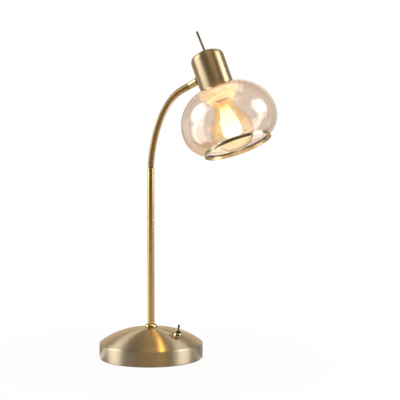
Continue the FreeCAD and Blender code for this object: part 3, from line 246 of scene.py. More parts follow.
class Nodes:
    """Short ways to add the nodes of one material or of the world."""

    def __init__(self, owner: Material | bpy.types.World) -> None:
        """Empties the owner's node tree and works in it."""
        owner.use_nodes = True
        self.owner = owner
        self.tree = owner.node_tree
        self.tree.nodes.clear()

    def add(self, kind: str, **settings: object) -> Node:
        """Adds a node, named without its "ShaderNode" prefix, and sets its properties."""
        node = self.tree.nodes.new(f"ShaderNode{kind}")
        for name, value in settings.items():
            setattr(node, name, value)
        return node

    def put(self, node: Node, **inputs: object) -> Node:
        """Sets or links inputs, named with underscores for spaces, and returns the node."""
        for name, value in inputs.items():
            self.feed(node.inputs[name.replace("_", " ")], value)
        return node

    def feed(self, socket: Socket, value: object) -> None:
        """Links a socket to an input, or sets the input to a number, vector or colour."""
        if isinstance(value, Socket):
            self.tree.links.new(value, socket)
        else:
            socket.default_value = (*value, 1.0) if socket.type == "RGBA" else value

    def give(self, kind: str, **inputs: object) -> Socket:
        """Adds a node with these inputs and returns its first output."""
        return self.put(self.add(kind), **inputs).outputs[0]

    def maths(self, operation: str, first: object, second: object = 0.0) -> Socket:
        """Adds a Math node on two numbers or sockets and returns its result."""
        node = self.add("Math", operation=operation)
        self.feed(node.inputs[0], first)
        self.feed(node.inputs[1], second)
        return node.outputs[0]

    def vector(self, operation: str, first: Socket, second: Vector = UP) -> Node:
        """Adds a Vector Math node, whose operation may need no second vector."""
        node = self.add("VectorMath", operation=operation)
        self.feed(node.inputs[0], first)
        self.feed(node.inputs[1], second)
        return node

    def place(self) -> Socket:
        """Returns the coordinates in the piece's own frame."""
        return self.add("TexCoord").outputs["Object"]

    def parts(self) -> tuple[Socket, ...]:
        """Returns the three coordinates in the piece's own frame."""
        return tuple(self.put(self.add("SeparateXYZ"), Vector=self.place()).outputs)

    def around(self, across: float, turn: float, along: float) -> Socket:
        """Returns cylinder coordinates about the piece's Z axis, scaled.

        Args:
            across: Factor of the distance from the axis.
            turn: Factor of the angle.
            along: Factor of the height.

        Returns:
            A vector socket of the three scaled values.
        """
        x, y, z = self.parts()
        distance = self.vector("LENGTH", self.give("CombineXYZ", X=x, Y=y)).outputs["Value"]
        return self.give("CombineXYZ", X=self.maths("MULTIPLY", distance, across),
                         Y=self.maths("MULTIPLY", self.maths("ARCTAN2", y, x), turn),
                         Z=self.maths("MULTIPLY", z, along))

    def noise(self, vector: Socket, scale: float, detail: float) -> Socket:
        """Adds a noise texture on a vector and returns its factor."""
        return self.put(self.add("TexNoise"), Vector=vector, Scale=scale, Detail=detail).outputs["Fac"]

    def between(self, factor: Socket, low: tuple[float, Colour], high: tuple[float, Colour]) -> Socket:
        """Returns a colour that runs from one stop to another with the factor."""
        ramp = self.put(self.add("ValToRGB"), Fac=factor)
        for element, stop in zip(ramp.color_ramp.elements, (low, high)):
            element.position = stop[0]
            element.color = (*stop[1], 1.0)
        return ramp.outputs[0]

    def darkened(self, colour: Socket, share: Socket) -> Socket:
        """Returns the colour, taken down towards a dark brown by a share of 0 to 1: painted shade."""
        mix = self.add("Mix", data_type="RGBA", blend_type="MULTIPLY")
        colours = [socket for socket in mix.inputs if socket.type == "RGBA"]
        self.feed(mix.inputs[0], share)
        self.feed(colours[0], colour)
        self.feed(colours[1], GROOVE_SHADE)
        return next(socket for socket in mix.outputs if socket.type == "RGBA")

    def remap(self, value: Socket, source: Spot, target: Spot, smooth: bool = True) -> Socket:
        """Maps a number from one range onto another, smoothly or in a straight line."""
        node = self.add("MapRange", interpolation_type="SMOOTHSTEP" if smooth else "LINEAR")
        return self.put(node, Value=value, From_Min=source[0], From_Max=source[1],
                        To_Min=target[0], To_Max=target[1]).outputs["Result"]

    def spread(self, noise: Socket, low: float, high: float) -> Socket:
        """Maps the usual span of a noise onto a range of numbers."""
        return self.remap(noise, NOISE_SPAN, (low, high), smooth=False)

    def height(self, value: Socket, start: float, end: float) -> Socket:
        """Maps a height in the piece's frame, between a start and an end, onto 0 to 1."""
        return self.remap(value, (start * MM, end * MM), (0.0, 1.0), smooth=False)

    def facing(self, direction: Socket, aim: Vector) -> Socket:
        """Returns how much a direction points along an aim, from -1 to 1."""
        return self.vector("DOT_PRODUCT", direction, aim).outputs["Value"]

    def ray(self, *kinds: str) -> Socket:
        """Returns 1 for rays of that kind, or of either of two kinds."""
        path = self.add("LightPath")
        sockets = [path.outputs[f"Is {kind} Ray"] for kind in kinds]
        return sockets[0] if len(sockets) == 1 else self.maths("MAXIMUM", *sockets)

    def mixed(self, share: Socket, first: Socket, second: Socket) -> Socket:
        """Returns a mix of two shaders."""
        mix = self.add("MixShader")
        for socket, value in zip(mix.inputs, (share, first, second)):
            self.feed(socket, value)
        return mix.outputs[0]

    def surface(self, shader: Socket, **more: Socket) -> Material:
        """Ends the material with that surface, and a volume where one is given, and returns it."""
        self.put(self.add("OutputMaterial"), Surface=shader, **more)
        return self.owner


@dataclass(frozen=True)
class Finish:
    """A procedural material that is made once and shared."""

    name: str

    def make(self) -> Material:
        """Returns the finished material."""
        return self.shade(Nodes(bpy.data.materials.new(self.name)))

    def shade(self, nodes: Nodes) -> Material:
        """Adds the finish's nodes and returns the material."""
        raise NotImplementedError


@dataclass(frozen=True)
class Metal(Finish):
    """Bare metal with fine scratches, faint clouding and a slow drift of its tone, and painted shade in the
    grooves where groove is set; depth is in metres.
    """

    light: Colour
    dark: Colour
    roughness: float
    brushing: Brushing = Brushing.NONE
    anisotropy: float = 0.0
    scratch: float = 0.08
    depth: float = 0.00002
    groove: bool = False
    tone_span: Spot = (0.36, 0.64)
    rough_span: Spot = (0.75, 1.3)
    brush_turn: float = 0.25

    def textures(self, nodes: Nodes) -> list[Socket]:
        """Returns the fine grain and the broad clouding."""
        if self.brushing is Brushing.NONE:
            return [nodes.noise(nodes.place(), scale, detail) for scale, detail in UNBRUSHED]
        return [nodes.noise(nodes.around(*factors), 1.0, detail)
                for *factors, detail in BRUSHED[self.brushing]]

    def shade(self, nodes: Nodes) -> Material:
        """Adds the metal's nodes and returns the material."""
        grain, broad = self.textures(nodes)
        tone = nodes.maths("ADD", nodes.maths("MULTIPLY", grain, 0.5), nodes.maths("MULTIPLY", broad, 0.5))
        colour = nodes.between(tone, (self.tone_span[0], self.dark), (self.tone_span[1], self.light))
        # Painted shade: the colour is taken darker by how deep each point lies in a groove
        if self.groove:
            colour = nodes.darkened(colour, nodes.add("Attribute", attribute_name=GROOVE).outputs["Fac"])
        shader = nodes.put(
            nodes.add("BsdfPrincipled"), Base_Color=colour, Metallic=1.0,
            Roughness=nodes.spread(grain, *[self.roughness * share for share in self.rough_span]),
            Normal=nodes.give("Bump", Height=grain, Strength=self.scratch, Distance=self.depth))
        if self.anisotropy > 0.0:
            tangent = nodes.add("Tangent", direction_type="RADIAL", axis="Z").outputs[0]
            nodes.put(shader, Anisotropic=self.anisotropy, Tangent=tangent,
                      Anisotropic_Rotation=self.brush_turn)
        return nodes.surface(shader.outputs[0])


@dataclass(frozen=True)
class Plastic(Finish):
    """Moulded plastic or rubber with a faint mottle and a fine grain, which may carry painted light of the
    bulb: an emission whose colour runs warmer towards it.

    The grain's bump is a strength and a depth, and both depths are in metres.
    """

    light: Colour
    dark: Colour
    roughness: float
    glow: float = 0.0
    see: float = 0.0
    grain_scale: float = 2400.0
    mottle_share: float = 1.0 / 24.0
    rough_span: Spot = (0.85, 1.2)
    grain_bump: Spot = (0.12, 0.00003)
    see_depth: float = 0.006
    see_colours: Colour = (1.0, 0.62, 0.25)
    lit: Spot = (-26.0, -46.0)
    far_glow: Colour = (1.0, 0.76, 0.50)
    near_glow: Colour = (1.0, 0.62, 0.14)
    glow_span: Spot = (0.1, 0.9)

    def shade(self, nodes: Nodes) -> Material:
        """Adds the plastic's nodes and returns the material."""
        grain = nodes.noise(nodes.place(), self.grain_scale, 3.0)
        mottle = nodes.noise(nodes.place(), self.grain_scale * self.mottle_share, 3.0)
        shader = nodes.put(
            nodes.add("BsdfPrincipled"),
            Base_Color=nodes.between(mottle, (NOISE_SPAN[0], self.dark), (NOISE_SPAN[1], self.light)),
            Roughness=nodes.spread(grain, *[self.roughness * share for share in self.rough_span]),
            Normal=nodes.give("Bump", Height=grain, Strength=self.grain_bump[0], Distance=self.grain_bump[1]))
        if self.see > 0.0:
            nodes.put(shader, Subsurface_Weight=self.see, Subsurface_Scale=self.see_depth,
                      Subsurface_Radius=self.see_colours)
        # Painted light: the bulb's light on this plastic, as an emission that turns warmer nearer the bulb
        if self.glow > 0.0:
            lit = nodes.height(nodes.parts()[2], *self.lit)
            far, near = (self.glow_span[0], self.far_glow), (self.glow_span[1], self.near_glow)
            nodes.put(shader, Emission_Strength=self.glow, Emission_Color=nodes.between(lit, far, near))
        return nodes.surface(shader.outputs[0])


@dataclass(frozen=True)
class Glass(Finish):
    """Clear glass with a tint in its depth and the slow waves of blown glass; it lets lamp light through.

    The depth of its waves is in metres.
    """

    surface_tint: Colour
    depth_tint: Colour
    density: float
    wave: float
    lustre: float
    index: float = 1.47
    frost: float = 0.02
    coat_index: float = 1.9
    coat_roughness: float = 0.03
    wave_scale: float = 38.0
    wave_depth: float = 0.0008
    speck_scale: float = 700.0

    def shade(self, nodes: Nodes) -> Material:
        """Adds the glass's nodes and returns the material."""
        waves = nodes.noise(nodes.place(), self.wave_scale, 1.0)
        specks = nodes.noise(nodes.place(), self.speck_scale, 2.0)
        glass = nodes.give(
            "BsdfPrincipled", Base_Color=self.surface_tint, Transmission_Weight=1.0, IOR=self.index,
            Specular_IOR_Level=0.5, Roughness=nodes.spread(specks, 0.0, self.frost),
            Coat_Weight=self.lustre, Coat_IOR=self.coat_index, Coat_Roughness=self.coat_roughness,
            Normal=nodes.give("Bump", Height=waves, Strength=self.wave, Distance=self.wave_depth))
        clear = nodes.give("BsdfTransparent", Color=self.surface_tint)
        tinted = nodes.give("VolumeAbsorption", Color=self.depth_tint, Density=self.density)
        return nodes.surface(nodes.mixed(nodes.ray("Shadow", "Diffuse"), glass, clear), Volume=tinted)


@dataclass(frozen=True)
class Glow(Finish):
    """A lit surface: a light of its own, mottled a little."""

    hot: Colour
    cool: Colour
    strength: float
    mottle_scale: float = 160.0

    def shade(self, nodes: Nodes) -> Material:
        """Adds the light's nodes and returns the material."""
        mottle = nodes.noise(nodes.place(), self.mottle_scale, 2.0)
        colour = nodes.between(mottle, (NOISE_SPAN[0], self.cool), (NOISE_SPAN[1], self.hot))
        return nodes.surface(nodes.give("Emission", Color=colour, Strength=self.strength))


@dataclass(frozen=True)
class Haze(Finish):
    """The soft light round a lit bulb's strips, which fades at both ends and is warmer towards the cap.

    Its start and end are heights in the head's frame, each as the outer and inner side of the fade.
    """

    warm: Colour
    bright: Colour
    strength: float
    cover: float
    start: Spot
    end: Spot
    streaks: tuple[float, float, float] = (0.0, 5.0, 60.0)
    flicker: float = 0.2
    thin: float = 0.8
    warm_span: Spot = (0.1, 0.9)

    def shade(self, nodes: Nodes) -> Material:
        """Adds the haze's nodes and returns the material."""
        height = nodes.parts()[2]
        streaks = nodes.noise(nodes.around(*self.streaks), 1.0, 2.0)
        rise = nodes.remap(height, (self.start[0] * MM, self.start[1] * MM), (0.0, 1.0))
        fall = nodes.remap(height, (self.end[0] * MM, self.end[1] * MM), (1.0, 0.0))
        fade = nodes.maths("ADD", nodes.height(height, self.start[1], self.end[0]),
                           nodes.spread(streaks, -self.flicker, self.flicker))
        low, high = (self.warm_span[0], self.bright), (self.warm_span[1], self.warm)
        light = nodes.give("Emission", Strength=self.strength, Color=nodes.between(fade, low, high))
        cover = nodes.maths("MULTIPLY", nodes.maths("MULTIPLY", rise, fall),
                            nodes.spread(streaks, self.cover * self.thin, self.cover))
        return nodes.surface(nodes.mixed(cover, nodes.give("BsdfTransparent"), light))


FINISHES: dict[str, Finish] = {finish.name: finish for finish in (
    Metal("foot_brass", (0.66, 0.55, 0.38), (0.58, 0.47, 0.31), 0.37, Brushing.ROUND, 0.97, 0.02, 0.000004),
    Metal("stem_brass", (0.88, 0.66, 0.30), (0.82, 0.59, 0.25), 0.20, scratch=0.02),
    Metal("trim_brass", (0.60, 0.47, 0.24), (0.50, 0.38, 0.18), 0.09, scratch=0.03),
    Metal("hose_brass", (0.95, 0.74, 0.38), (0.84, 0.62, 0.30), 0.16, scratch=0.04, groove=True),
    Metal("cup_brass", (0.70, 0.56, 0.35), (0.48, 0.36, 0.20), 0.36, Brushing.ALONG, 0.9, 0.05, 0.00001),
    Metal("band_brass", (0.70, 0.58, 0.38), (0.60, 0.48, 0.30), 0.18, scratch=0.04),
    Metal("dark_brass", (0.26, 0.18, 0.10), (0.15, 0.10, 0.06), 0.34),
    Metal("plated_steel", (0.62, 0.61, 0.58), (0.46, 0.45, 0.43), 0.30),
    Metal("cap_metal", (0.78, 0.70, 0.52), (0.60, 0.52, 0.38), 0.26),
    Metal("cast_iron", (0.20, 0.20, 0.20), (0.10, 0.10, 0.10), 0.62),
    Plastic("black_gloss", (0.020, 0.018, 0.017), (0.010, 0.009, 0.009), 0.22),
    Plastic("black_rubber", (0.050, 0.038, 0.030), (0.026, 0.020, 0.016), 0.62),
    # The seat ring and the lampholder carry painted light of the bulb as an emission
    Plastic("cream_ring", (0.96, 0.84, 0.60), (0.92, 0.76, 0.50), 0.30, glow=0.55, see=0.6),
    Plastic("holder_cream", (0.90, 0.74, 0.44), (0.84, 0.66, 0.36), 0.45, glow=0.75),
    Plastic("gasket_pale", (0.78, 0.74, 0.66), (0.70, 0.66, 0.58), 0.70),
    Plastic("cap_insulator", (0.06, 0.05, 0.05), (0.03, 0.025, 0.025), 0.25),
    Glass("globe_glass", (1.0, 0.96, 0.925), (0.84, 0.62, 0.42), 140.0, 0.04, 1.0),
    Glass("bulb_clear", (1.0, 0.96, 0.88), (0.95, 0.72, 0.40), 90.0, 0.02, 0.0),
    Glow("strip_light", (1.0, 0.97, 0.90), (1.0, 0.93, 0.76), 24.0),
    Haze("haze_outer", (0.94, 0.50, 0.08), (1.0, 0.82, 0.48), 1.15, 0.45, (-122.0, -104.0), (-46.0, -36.0)),
    Haze("haze_yellow", (1.0, 0.70, 0.10), (1.0, 0.93, 0.55), 1.25, 0.50, (-108.0, -94.0), (-46.0, -38.0)),
    Haze("haze_core", (1.0, 0.92, 0.50), WHITE, 6.0, 1.0, (-106.0, -98.0), (-64.0, -46.0)),
)}

PLAIN_NODES: dict[str, tuple[str, ...]] = {
    "black_rubber": ("foot_pad", "swivel_washer", "switch_case"),
    "cast_iron": ("base_ballast",),
    "plated_steel": ("stem_tie_tube", "stem_lock_washer", "stem_lock_nut", "ballast_spacer", "ballast_washer",
                     "ballast_nut", "inlet_nut", "swivel_nipple", "swivel_nut", "rod_nut", "socket_bracket",
                     "bracket_screws", "switch_lock_nut"),
    "black_gloss": ("cord_inlet",),
    "dark_brass": ("neck_foot_fitting",),
    "holder_cream": ("lampholder_body",),
    "cap_metal": ("thread_shell", "centre_contact", "bulb_contact", "switch_terminals"),
    "gasket_pale": ("glass_gasket",),
    "cap_insulator": ("bulb_insulator",),
    "bulb_clear": ("bulb_mount",),
}


@dataclass
class Finisher:
    """Makes each finish once, puts it on pieces and settles them on their bodies."""

    made: dict[str, Material] = field(default_factory=dict)

    def of(self, name: str) -> Material:
        """Returns the material of that finish."""
        if name not in self.made:
            self.made[name] = FINISHES[name].make()
        return self.made[name]

    def dress(self, piece: Piece, finish: str) -> None:
        """Puts one finish on the whole of a new piece."""
        piece.data.materials.append(self.of(finish))

    def dress_node(self, piece: Piece, finish: str) -> None:
        """Puts one finish on a carried node by its material slots, with its mesh left alone."""
        for slot in piece.material_slots:
            slot.link = "OBJECT"
            slot.material = self.of(finish)
        LOG.info("%s is dressed in %s", piece.name, finish)

    def settle(self, piece: Piece, finish: str, body: str, slot: str, *nodes: str) -> None:
        """Dresses a piece, rides it on its body, and hides the nodes it stands for.

        Args:
            piece: The finished piece, in place.
            finish: Name of its finish.
            body: Name of the body it moves with.
            slot: Not used.
            *nodes: Nodes that it stands for.
        """
        self.dress(piece, finish)
        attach(piece, body)
        if nodes:
            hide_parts(*nodes)
        LOG.info("%s rides on %s", piece.name, body)


@dataclass
class Foot:
    """The weighted foot's domed shell: a crown arc that runs on into a shoulder arc down to the rim."""

    radius: float = 75.0
    rim: float = 21.8
    top: float = 43.6
    crown: float = 190.0
    reach: float = 30.0
    wall: float = 1.2
    lift: float = 0.8
    hole: float = 4.1
    rim_curve: float = 2.2
    rim_blend: float = 1.7

    @property
    def crown_rise(self) -> float:
        """Height of the crown arc's end over its centre."""
        return side_of(self.crown, self.reach)

    @property
    def meet(self) -> float:
        """Height where the two arcs meet."""
        return self.top - self.crown + self.crown_rise

    @property
    def shoulder(self) -> float:
        """Radius of the arc that runs on from the crown to the rim."""
        run = self.radius - self.reach
        fall = self.meet - self.rim
        sine, cosine = self.reach / self.crown, self.crown_rise / self.crown
        return (run * run + fall * fall) / (2.0 * (fall * cosine - run * sine))

    def dome_spot(self, radius: float) -> Spot:
        """Height and slope, in radians, of the shoulder at a distance from the axis."""
        slope = math.asin(self.reach / self.crown + (radius - self.reach) / self.shoulder)
        return self.meet - self.shoulder * (self.crown_rise / self.crown - math.cos(slope)), slope

    def dome_line(self, inset: float) -> list[Spot]:
        """The dome's outline from the stem hole out to the rim, on a face that far inside."""
        level, share, rise = self.top - self.crown, self.reach / self.crown, self.crown_rise / self.crown
        centre = (self.reach - self.shoulder * share, self.meet - self.shoulder * rise)
        crown, shoulder = self.crown - inset, self.shoulder - inset
        start = (self.hole, level + side_of(crown, self.hole))
        meet = (crown * share, level + side_of(crown, crown * share))
        end_radius = self.radius - inset
        end = (end_radius, centre[1] + side_of(shoulder, end_radius - centre[0]))
        return arc(start, meet, (0.0, level), step=0.6) + arc(meet, end, centre, step=0.8)[1:]

    def build(self, finisher: Finisher) -> None:
        """Builds the shell."""
        outer, inner = self.dome_line(0.0), self.dome_line(self.wall)
        dome = [spot for spot in outer[:-1] if spot[0] < self.radius - self.rim_blend]
        rim = softened([dome[-1], (*outer[-1], self.rim_curve), (self.radius, self.lift, BROAD),
                        (self.radius - self.wall, self.lift)], 8)[1:]
        finisher.settle(turned("foot_dome", dome + rim + inner[::-1], steps=256),
                        "foot_brass", "base", "brass_base", "base_shell")


@dataclass
class Collar:
    """The domed ring round the stem's foot."""

    radius: float = 8.6
    top: float = 6.5
    height: float = 4.4
    bore: float = 5.08
    play: float = 0.02
    swell_start: float = 0.9
    swell_end: float = 4.2
    swell_radius: float = 5.2
    swell_level: float = 1.2

    def build(self, finisher: Finisher, level: float) -> None:
        """Builds the ring on the dome's top level."""
        low = level + self.play
        high = low + self.swell_end
        centre = (self.radius - self.swell_radius, low + self.swell_level)
        foot = softened([(self.bore, low), (self.radius - FULL, low), (self.radius, low + FULL, SOFT)])
        bulge = arc((self.radius, low + self.swell_start), (self.top, high), centre, step=6.0)
        crown = softened([(self.top, high, SOFT), (self.bore, low + self.height, CRISP)])
        finisher.settle(turned("collar_ring", foot + bulge + crown),
                        "trim_brass", "base", "brass_trim", "stem_collar")


@dataclass
class Stem:
    """The straight stem with a small rolled edge at its top."""

    radius: float = 5.0
    wall: float = 0.9
    low: float = 43.62
    top: float = 275.3
    roll: float = 0.45

    def build(self, finisher: Finisher) -> None:
        """Builds the stem tube."""
        inner = self.radius - self.wall
        outline = softened([(inner, self.low), (self.radius, self.low),
                            (self.radius, self.top - 0.1, self.roll), (inner, self.top, CRISP)], 4)
        finisher.settle(turned("stem_barrel", outline, steps=96),
                        "stem_brass", "base", "brass_stem", "stem_tube")


@dataclass
class Gooseneck:
    """The ribbed hose: one helical winding, in stretches that each bend across one pivot."""

    foot: float = 276.8
    length: float = 133.5
    links: int = 12
    crest: float = 5.0
    root: float = 3.8
    inner: float = 3.35
    bend: float = 67.5
    dip: float = 2.514
    rise: float = 3.966
    turns_per_link: int = 4
    rows_per_turn: int = 10
    overrun_rows: int = 35
    steps: int = 56

    def bends(self) -> list[float]:
        """The rest bend at each pivot."""
        along = [(index + 0.5) / self.links for index in range(self.links)]
        shares = [1.0 - self.dip * place + self.rise * place ** 2 for place in along]
        return [self.bend * share / sum(shares) for share in shares]

    def pivots(self) -> list[tuple[Vector, float]]:
        """Each pivot's place with the lean after it, in radians, and the hose's end last."""
        spot, lean, found = UP * self.foot, 0.0, []
        for bend in self.bends():
            lean += math.radians(bend)
            found.append((spot.copy(), lean))
            spot += self.ahead(lean) * (self.length / self.links)
        return [*found, (spot, lean)]

    def ahead(self, lean: float) -> Vector:
        """Direction of the centre line at a lean in radians."""
        return Vector((math.sin(lean), 0.0, math.cos(lean)))

    def lean_at(self, place: float) -> float:
        """Lean of the smooth centre line at a distance along it, in radians."""
        leans = [0.0, *[lean for _, lean in self.pivots()[:-1]]]
        share = place / (self.length / self.links) + 0.5
        index = min(max(int(share), 0), self.links)
        if index >= self.links:
            return leans[-1]
        return leans[index] + (leans[index + 1] - leans[index]) * (share - index)

    def centre_line(self, rows: int) -> list[tuple[Vector, float]]:
        """Centre and lean at even steps, through the end of the last link and on over the ferrule."""
        step = self.length / rows
        spot = UP * self.foot
        line = [(spot.copy(), self.lean_at(0.0))]
        for index in range(rows):
            spot = spot + self.ahead(self.lean_at((index + 0.5) * step)) * step
            line.append((spot.copy(), self.lean_at((index + 1) * step)))
        end, lean = self.pivots()[-1]
        miss = end - spot
        line = [(place + miss * (index / rows), turn) for index, (place, turn) in enumerate(line)]
        along = self.ahead(lean) * step
        return line + [(end + along * (index + 1), lean) for index in range(self.overrun_rows)]

    def spokes(self, lean: float) -> list[Vector]:
        """Directions square to the centre line at a lean in radians, one for each step round it."""
        across = Vector((math.cos(lean), 0.0, -math.sin(lean)))
        return [across * math.cos(angle) + SIDEWAYS * math.sin(angle) for angle in turns(self.steps)]

    def stretch(self, name: str, line: list[tuple[Vector, float]], first: int, last: int) -> Piece:
        """One closed stretch of the hose between two rows of the centre line, ribbed outside."""
        shape = bmesh.new()
        groove = shape.verts.layers.float.new(GROOVE)
        rings = []
        for row in range(first, last + 1):
            centre, lean = line[row]
            ring = []
            for index, spoke in enumerate(self.spokes(lean)):
                winding = row / self.rows_per_turn - index / self.steps
                rib = 0.5 - 0.5 * math.cos(FULL_TURN * winding)
                radius = self.root + (self.crest - self.root) * rib
                vertex = shape.verts.new((centre + spoke * radius) * MM)
                # How deep the point lies in a groove, which the hose's painted groove shade reads
                vertex[groove] = 1.0 - rib
                ring.append(vertex)
            rings.append(ring)
        for centre, lean in (line[last], line[first]):
            rings.append([shape.verts.new((centre + spoke * self.inner) * MM) for spoke in self.spokes(lean)])
        join_rings(shape, rings)
        return finish_mesh(name, shape, HERE, HOSE_SHARP)

    def build(self, finisher: Finisher) -> None:
        """Builds the stretches, each from the middle of one link to the middle of the next."""
        rows_per_link = self.turns_per_link * self.rows_per_turn
        rows = rows_per_link * self.links
        line = self.centre_line(rows)
        half = rows_per_link // 2
        for index in range(self.links + 1):
            first = max(index * rows_per_link - half, 0)
            last = index * rows_per_link + half if index < self.links else rows + self.overrun_rows
            piece = self.stretch(f"hose_{index:02d}", line, first, last)
            finisher.dress(piece, "hose_brass")
            if index == self.links:
                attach(piece, f"neck_{self.links}")
                continue
            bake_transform(piece)
            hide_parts(f"neck_link_{index + 1:02d}")

    def end_frame(self) -> Matrix:
        """Frame of the hose's end, with Z along the ferrule."""
        spot, lean = self.pivots()[-1]
        return Matrix.Translation(spot * MM) @ Matrix.Rotation(lean, 4, "Y")


@dataclass
class Ferrule:
    """The smooth tapered end of the gooseneck; the washer is the gap it leaves before the cup."""

    length: float = 23.5
    foot: float = 4.8
    top: float = 5.5
    bore: float = 4.06
    throat: float = 3.4
    socket: float = 9.0
    washer: float = 2.6
    start: float = 9.6
    play: float = 0.05

    def build(self, finisher: Finisher, frame: Matrix) -> None:
        """Builds the ferrule in the frame of the hose's end."""
        rim = self.foot + (self.top - self.foot) * self.start / self.length
        end = self.length - self.play
        outline = softened([
            (self.throat, self.start), (rim, self.start, SOFT), (self.top, end, FULL), (self.bore, end),
            (self.bore, self.length - self.socket), (self.throat, self.length - self.socket)], 4)
        finisher.settle(turned("ferrule_sleeve", outline, frame, 96),
                        "stem_brass", "neck_12", "brass_neck", "neck_ferrule")


@dataclass
class Cup:
    """The brushed brass cup with its thin handle rod."""

    radius: float = 23.6
    wall: float = 0.9
    top: float = 32.6
    bottom: float = 22.6
    crown: float = 42.0
    corner: float = 9.0
    rod: float = 1.6
    spigot: float = 1.75
    spigot_end: float = -8.0
    spigot_edge: float = -0.9
    neck_edge: float = -0.6
    rod_length: float = 31.3
    rod_lean: float = 2.8

    def line(self, inset: float) -> list[Spot]:
        """Outline from the crown's hole to the side wall, on a face that far inside."""
        hole = self.spigot + 0.1
        crown, corner = self.crown - inset, self.radius - self.corner
        span = self.crown - self.corner
        level = self.top - self.crown
        corner_level = level + side_of(span, corner)
        share = crown / span
        meet = (corner * share, level + (corner_level - level) * share)
        curve = arc((hole, level + side_of(crown, hole)), meet, (0.0, level), step=2.0)
        return curve + arc(meet, (self.radius - inset, corner_level), (corner, corner_level), step=4.0)[1:]

    def build(self, finisher: Finisher, frame: Matrix) -> None:
        """Builds the cup and the rod in the head's frame."""
        inner = self.radius - self.wall
        edge = softened([(self.radius, 0.0), (self.radius, -self.bottom, SOFT),
                         (inner, -self.bottom, SOFT), (inner, 0.0)], 4)
        finisher.settle(turned("cup_shell", self.line(0.0) + edge + self.line(self.wall)[::-1], frame, 192),
                        "cup_brass", "head", "brass_cup", "socket_cup")
        lean = frame @ Matrix.Translation(UP * self.top * MM) @ Matrix.Rotation(
            math.radians(-self.rod_lean), 4, "Y")
        outline = softened([
            (0.0, self.spigot_end), (self.spigot, self.spigot_end), (self.spigot, self.spigot_edge, CRISP),
            (self.rod, self.neck_edge), (self.rod, self.rod_length, FULL), (0.0, self.rod_length)], 4)
        finisher.settle(turned("handle_pin", outline, lean, 40),
                        "dark_brass", "head", "dark_brass", "handle_rod")


@dataclass
class Globe:
    """The blown glass globe and the brass band round its mouth."""

    radius: float = 67.2
    wall: float = 2.2
    shoulder: float = 51.2
    crown: float = 108.0
    hole: float = 20.2
    equator: float = -73.99
    mouth: float = -110.9
    ring: float = 47.7
    ring_height: float = 4.4
    ring_wall: float = 0.8
    ring_edge: float = 0.35
    ledge_width: float = 2.6
    ledge_low: float = 0.95
    ledge_high: float = 0.15
    gap: float = 0.25

    @property
    def crown_level(self) -> float:
        """Height of the crown arc's centre."""
        return self.equator - side_of(self.crown - self.shoulder, self.radius - self.shoulder)

    def line(self, inset: float) -> list[Spot]:
        """Outline from the hole down to the foot, on a face that far inside."""
        centre = (self.radius - self.shoulder, self.equator)
        crown = self.crown - inset
        share = crown / (self.crown - self.shoulder)
        meet = (centre[0] * share, self.crown_level + (self.equator - self.crown_level) * share)
        start = (self.hole, self.crown_level + side_of(crown, self.hole))
        side = (self.radius - inset, self.equator)
        foot = (self.ring - self.ring_wall - self.gap, self.mouth + self.ring_height)
        run, fall = self.radius - foot[0], self.equator - foot[1]
        belly = (run * run + fall * fall) / (2.0 * run)
        belly_centre = self.radius - belly
        part = (belly - inset) / belly
        end = (belly_centre + (foot[0] - belly_centre) * part, self.equator - fall * part)
        curve = arc(start, meet, (0.0, self.crown_level), step=1.5) + arc(meet, side, centre, step=2.0)[1:]
        return curve + arc(side, end, (belly_centre, self.equator), step=2.0)[1:]

    def build(self, finisher: Finisher, frame: Matrix) -> None:
        """Builds the glass and the mouth band in the head's frame."""
        finisher.settle(turned("globe_blown", self.line(0.0) + self.line(self.wall)[::-1], frame, 192),
                        "globe_glass", "head", "globe_glass", "globe_shade")
        low, top = self.mouth, self.mouth + self.ring_height
        inside, ledge = self.ring - self.ring_wall, self.ring - self.ledge_width
        step, under = top - self.ledge_high, top - self.ledge_low
        band = softened([
            (inside, low, CRISP), (self.ring, low, self.ring_edge), (self.ring, top, self.ring_edge),
            (inside, top, CRISP),
            (inside, step), (ledge, step, CRISP), (ledge, under, CRISP), (inside, under)], 4)
        finisher.settle(turned("mouth_band", band, frame, 192),
                        "band_brass", "head", "brass_trim", "mouth_ring")


@dataclass
class SeatRing:
    """The cream ring that holds the glass, stepped down to a narrow nose."""

    flange: float = 28.3
    bore: float = 19.3
    drop: float = 11.0
    # Radius, depth under the top and rounding of each step, from the nose up
    rise: tuple[tuple[float, float, float], ...] = (
        (20.9, 11.0, BROAD), (21.9, 8.0, MILD), (22.6, 7.8, MILD), (23.4, 5.2, MILD), (24.1, 5.0, MILD),
        (24.6, 2.0, FULL), (28.3, 2.0, FULL))

    def build(self, finisher: Finisher, globe: Globe, frame: Matrix) -> None:
        """Builds the ring under the globe's crown."""
        top = globe.crown_level + side_of(globe.crown - globe.wall, self.flange) - globe.gap
        steps = [(radius, top - deep, curve) for radius, deep, curve in self.rise]
        outline = softened([(self.bore, top - self.drop, MILD), *steps, (self.flange, top, MILD),
                            (self.bore, top)], 4)
        finisher.settle(turned("seat_ring", outline, frame, 160),
                        "cream_ring", "head", "cream_plastic", "shade_ring")


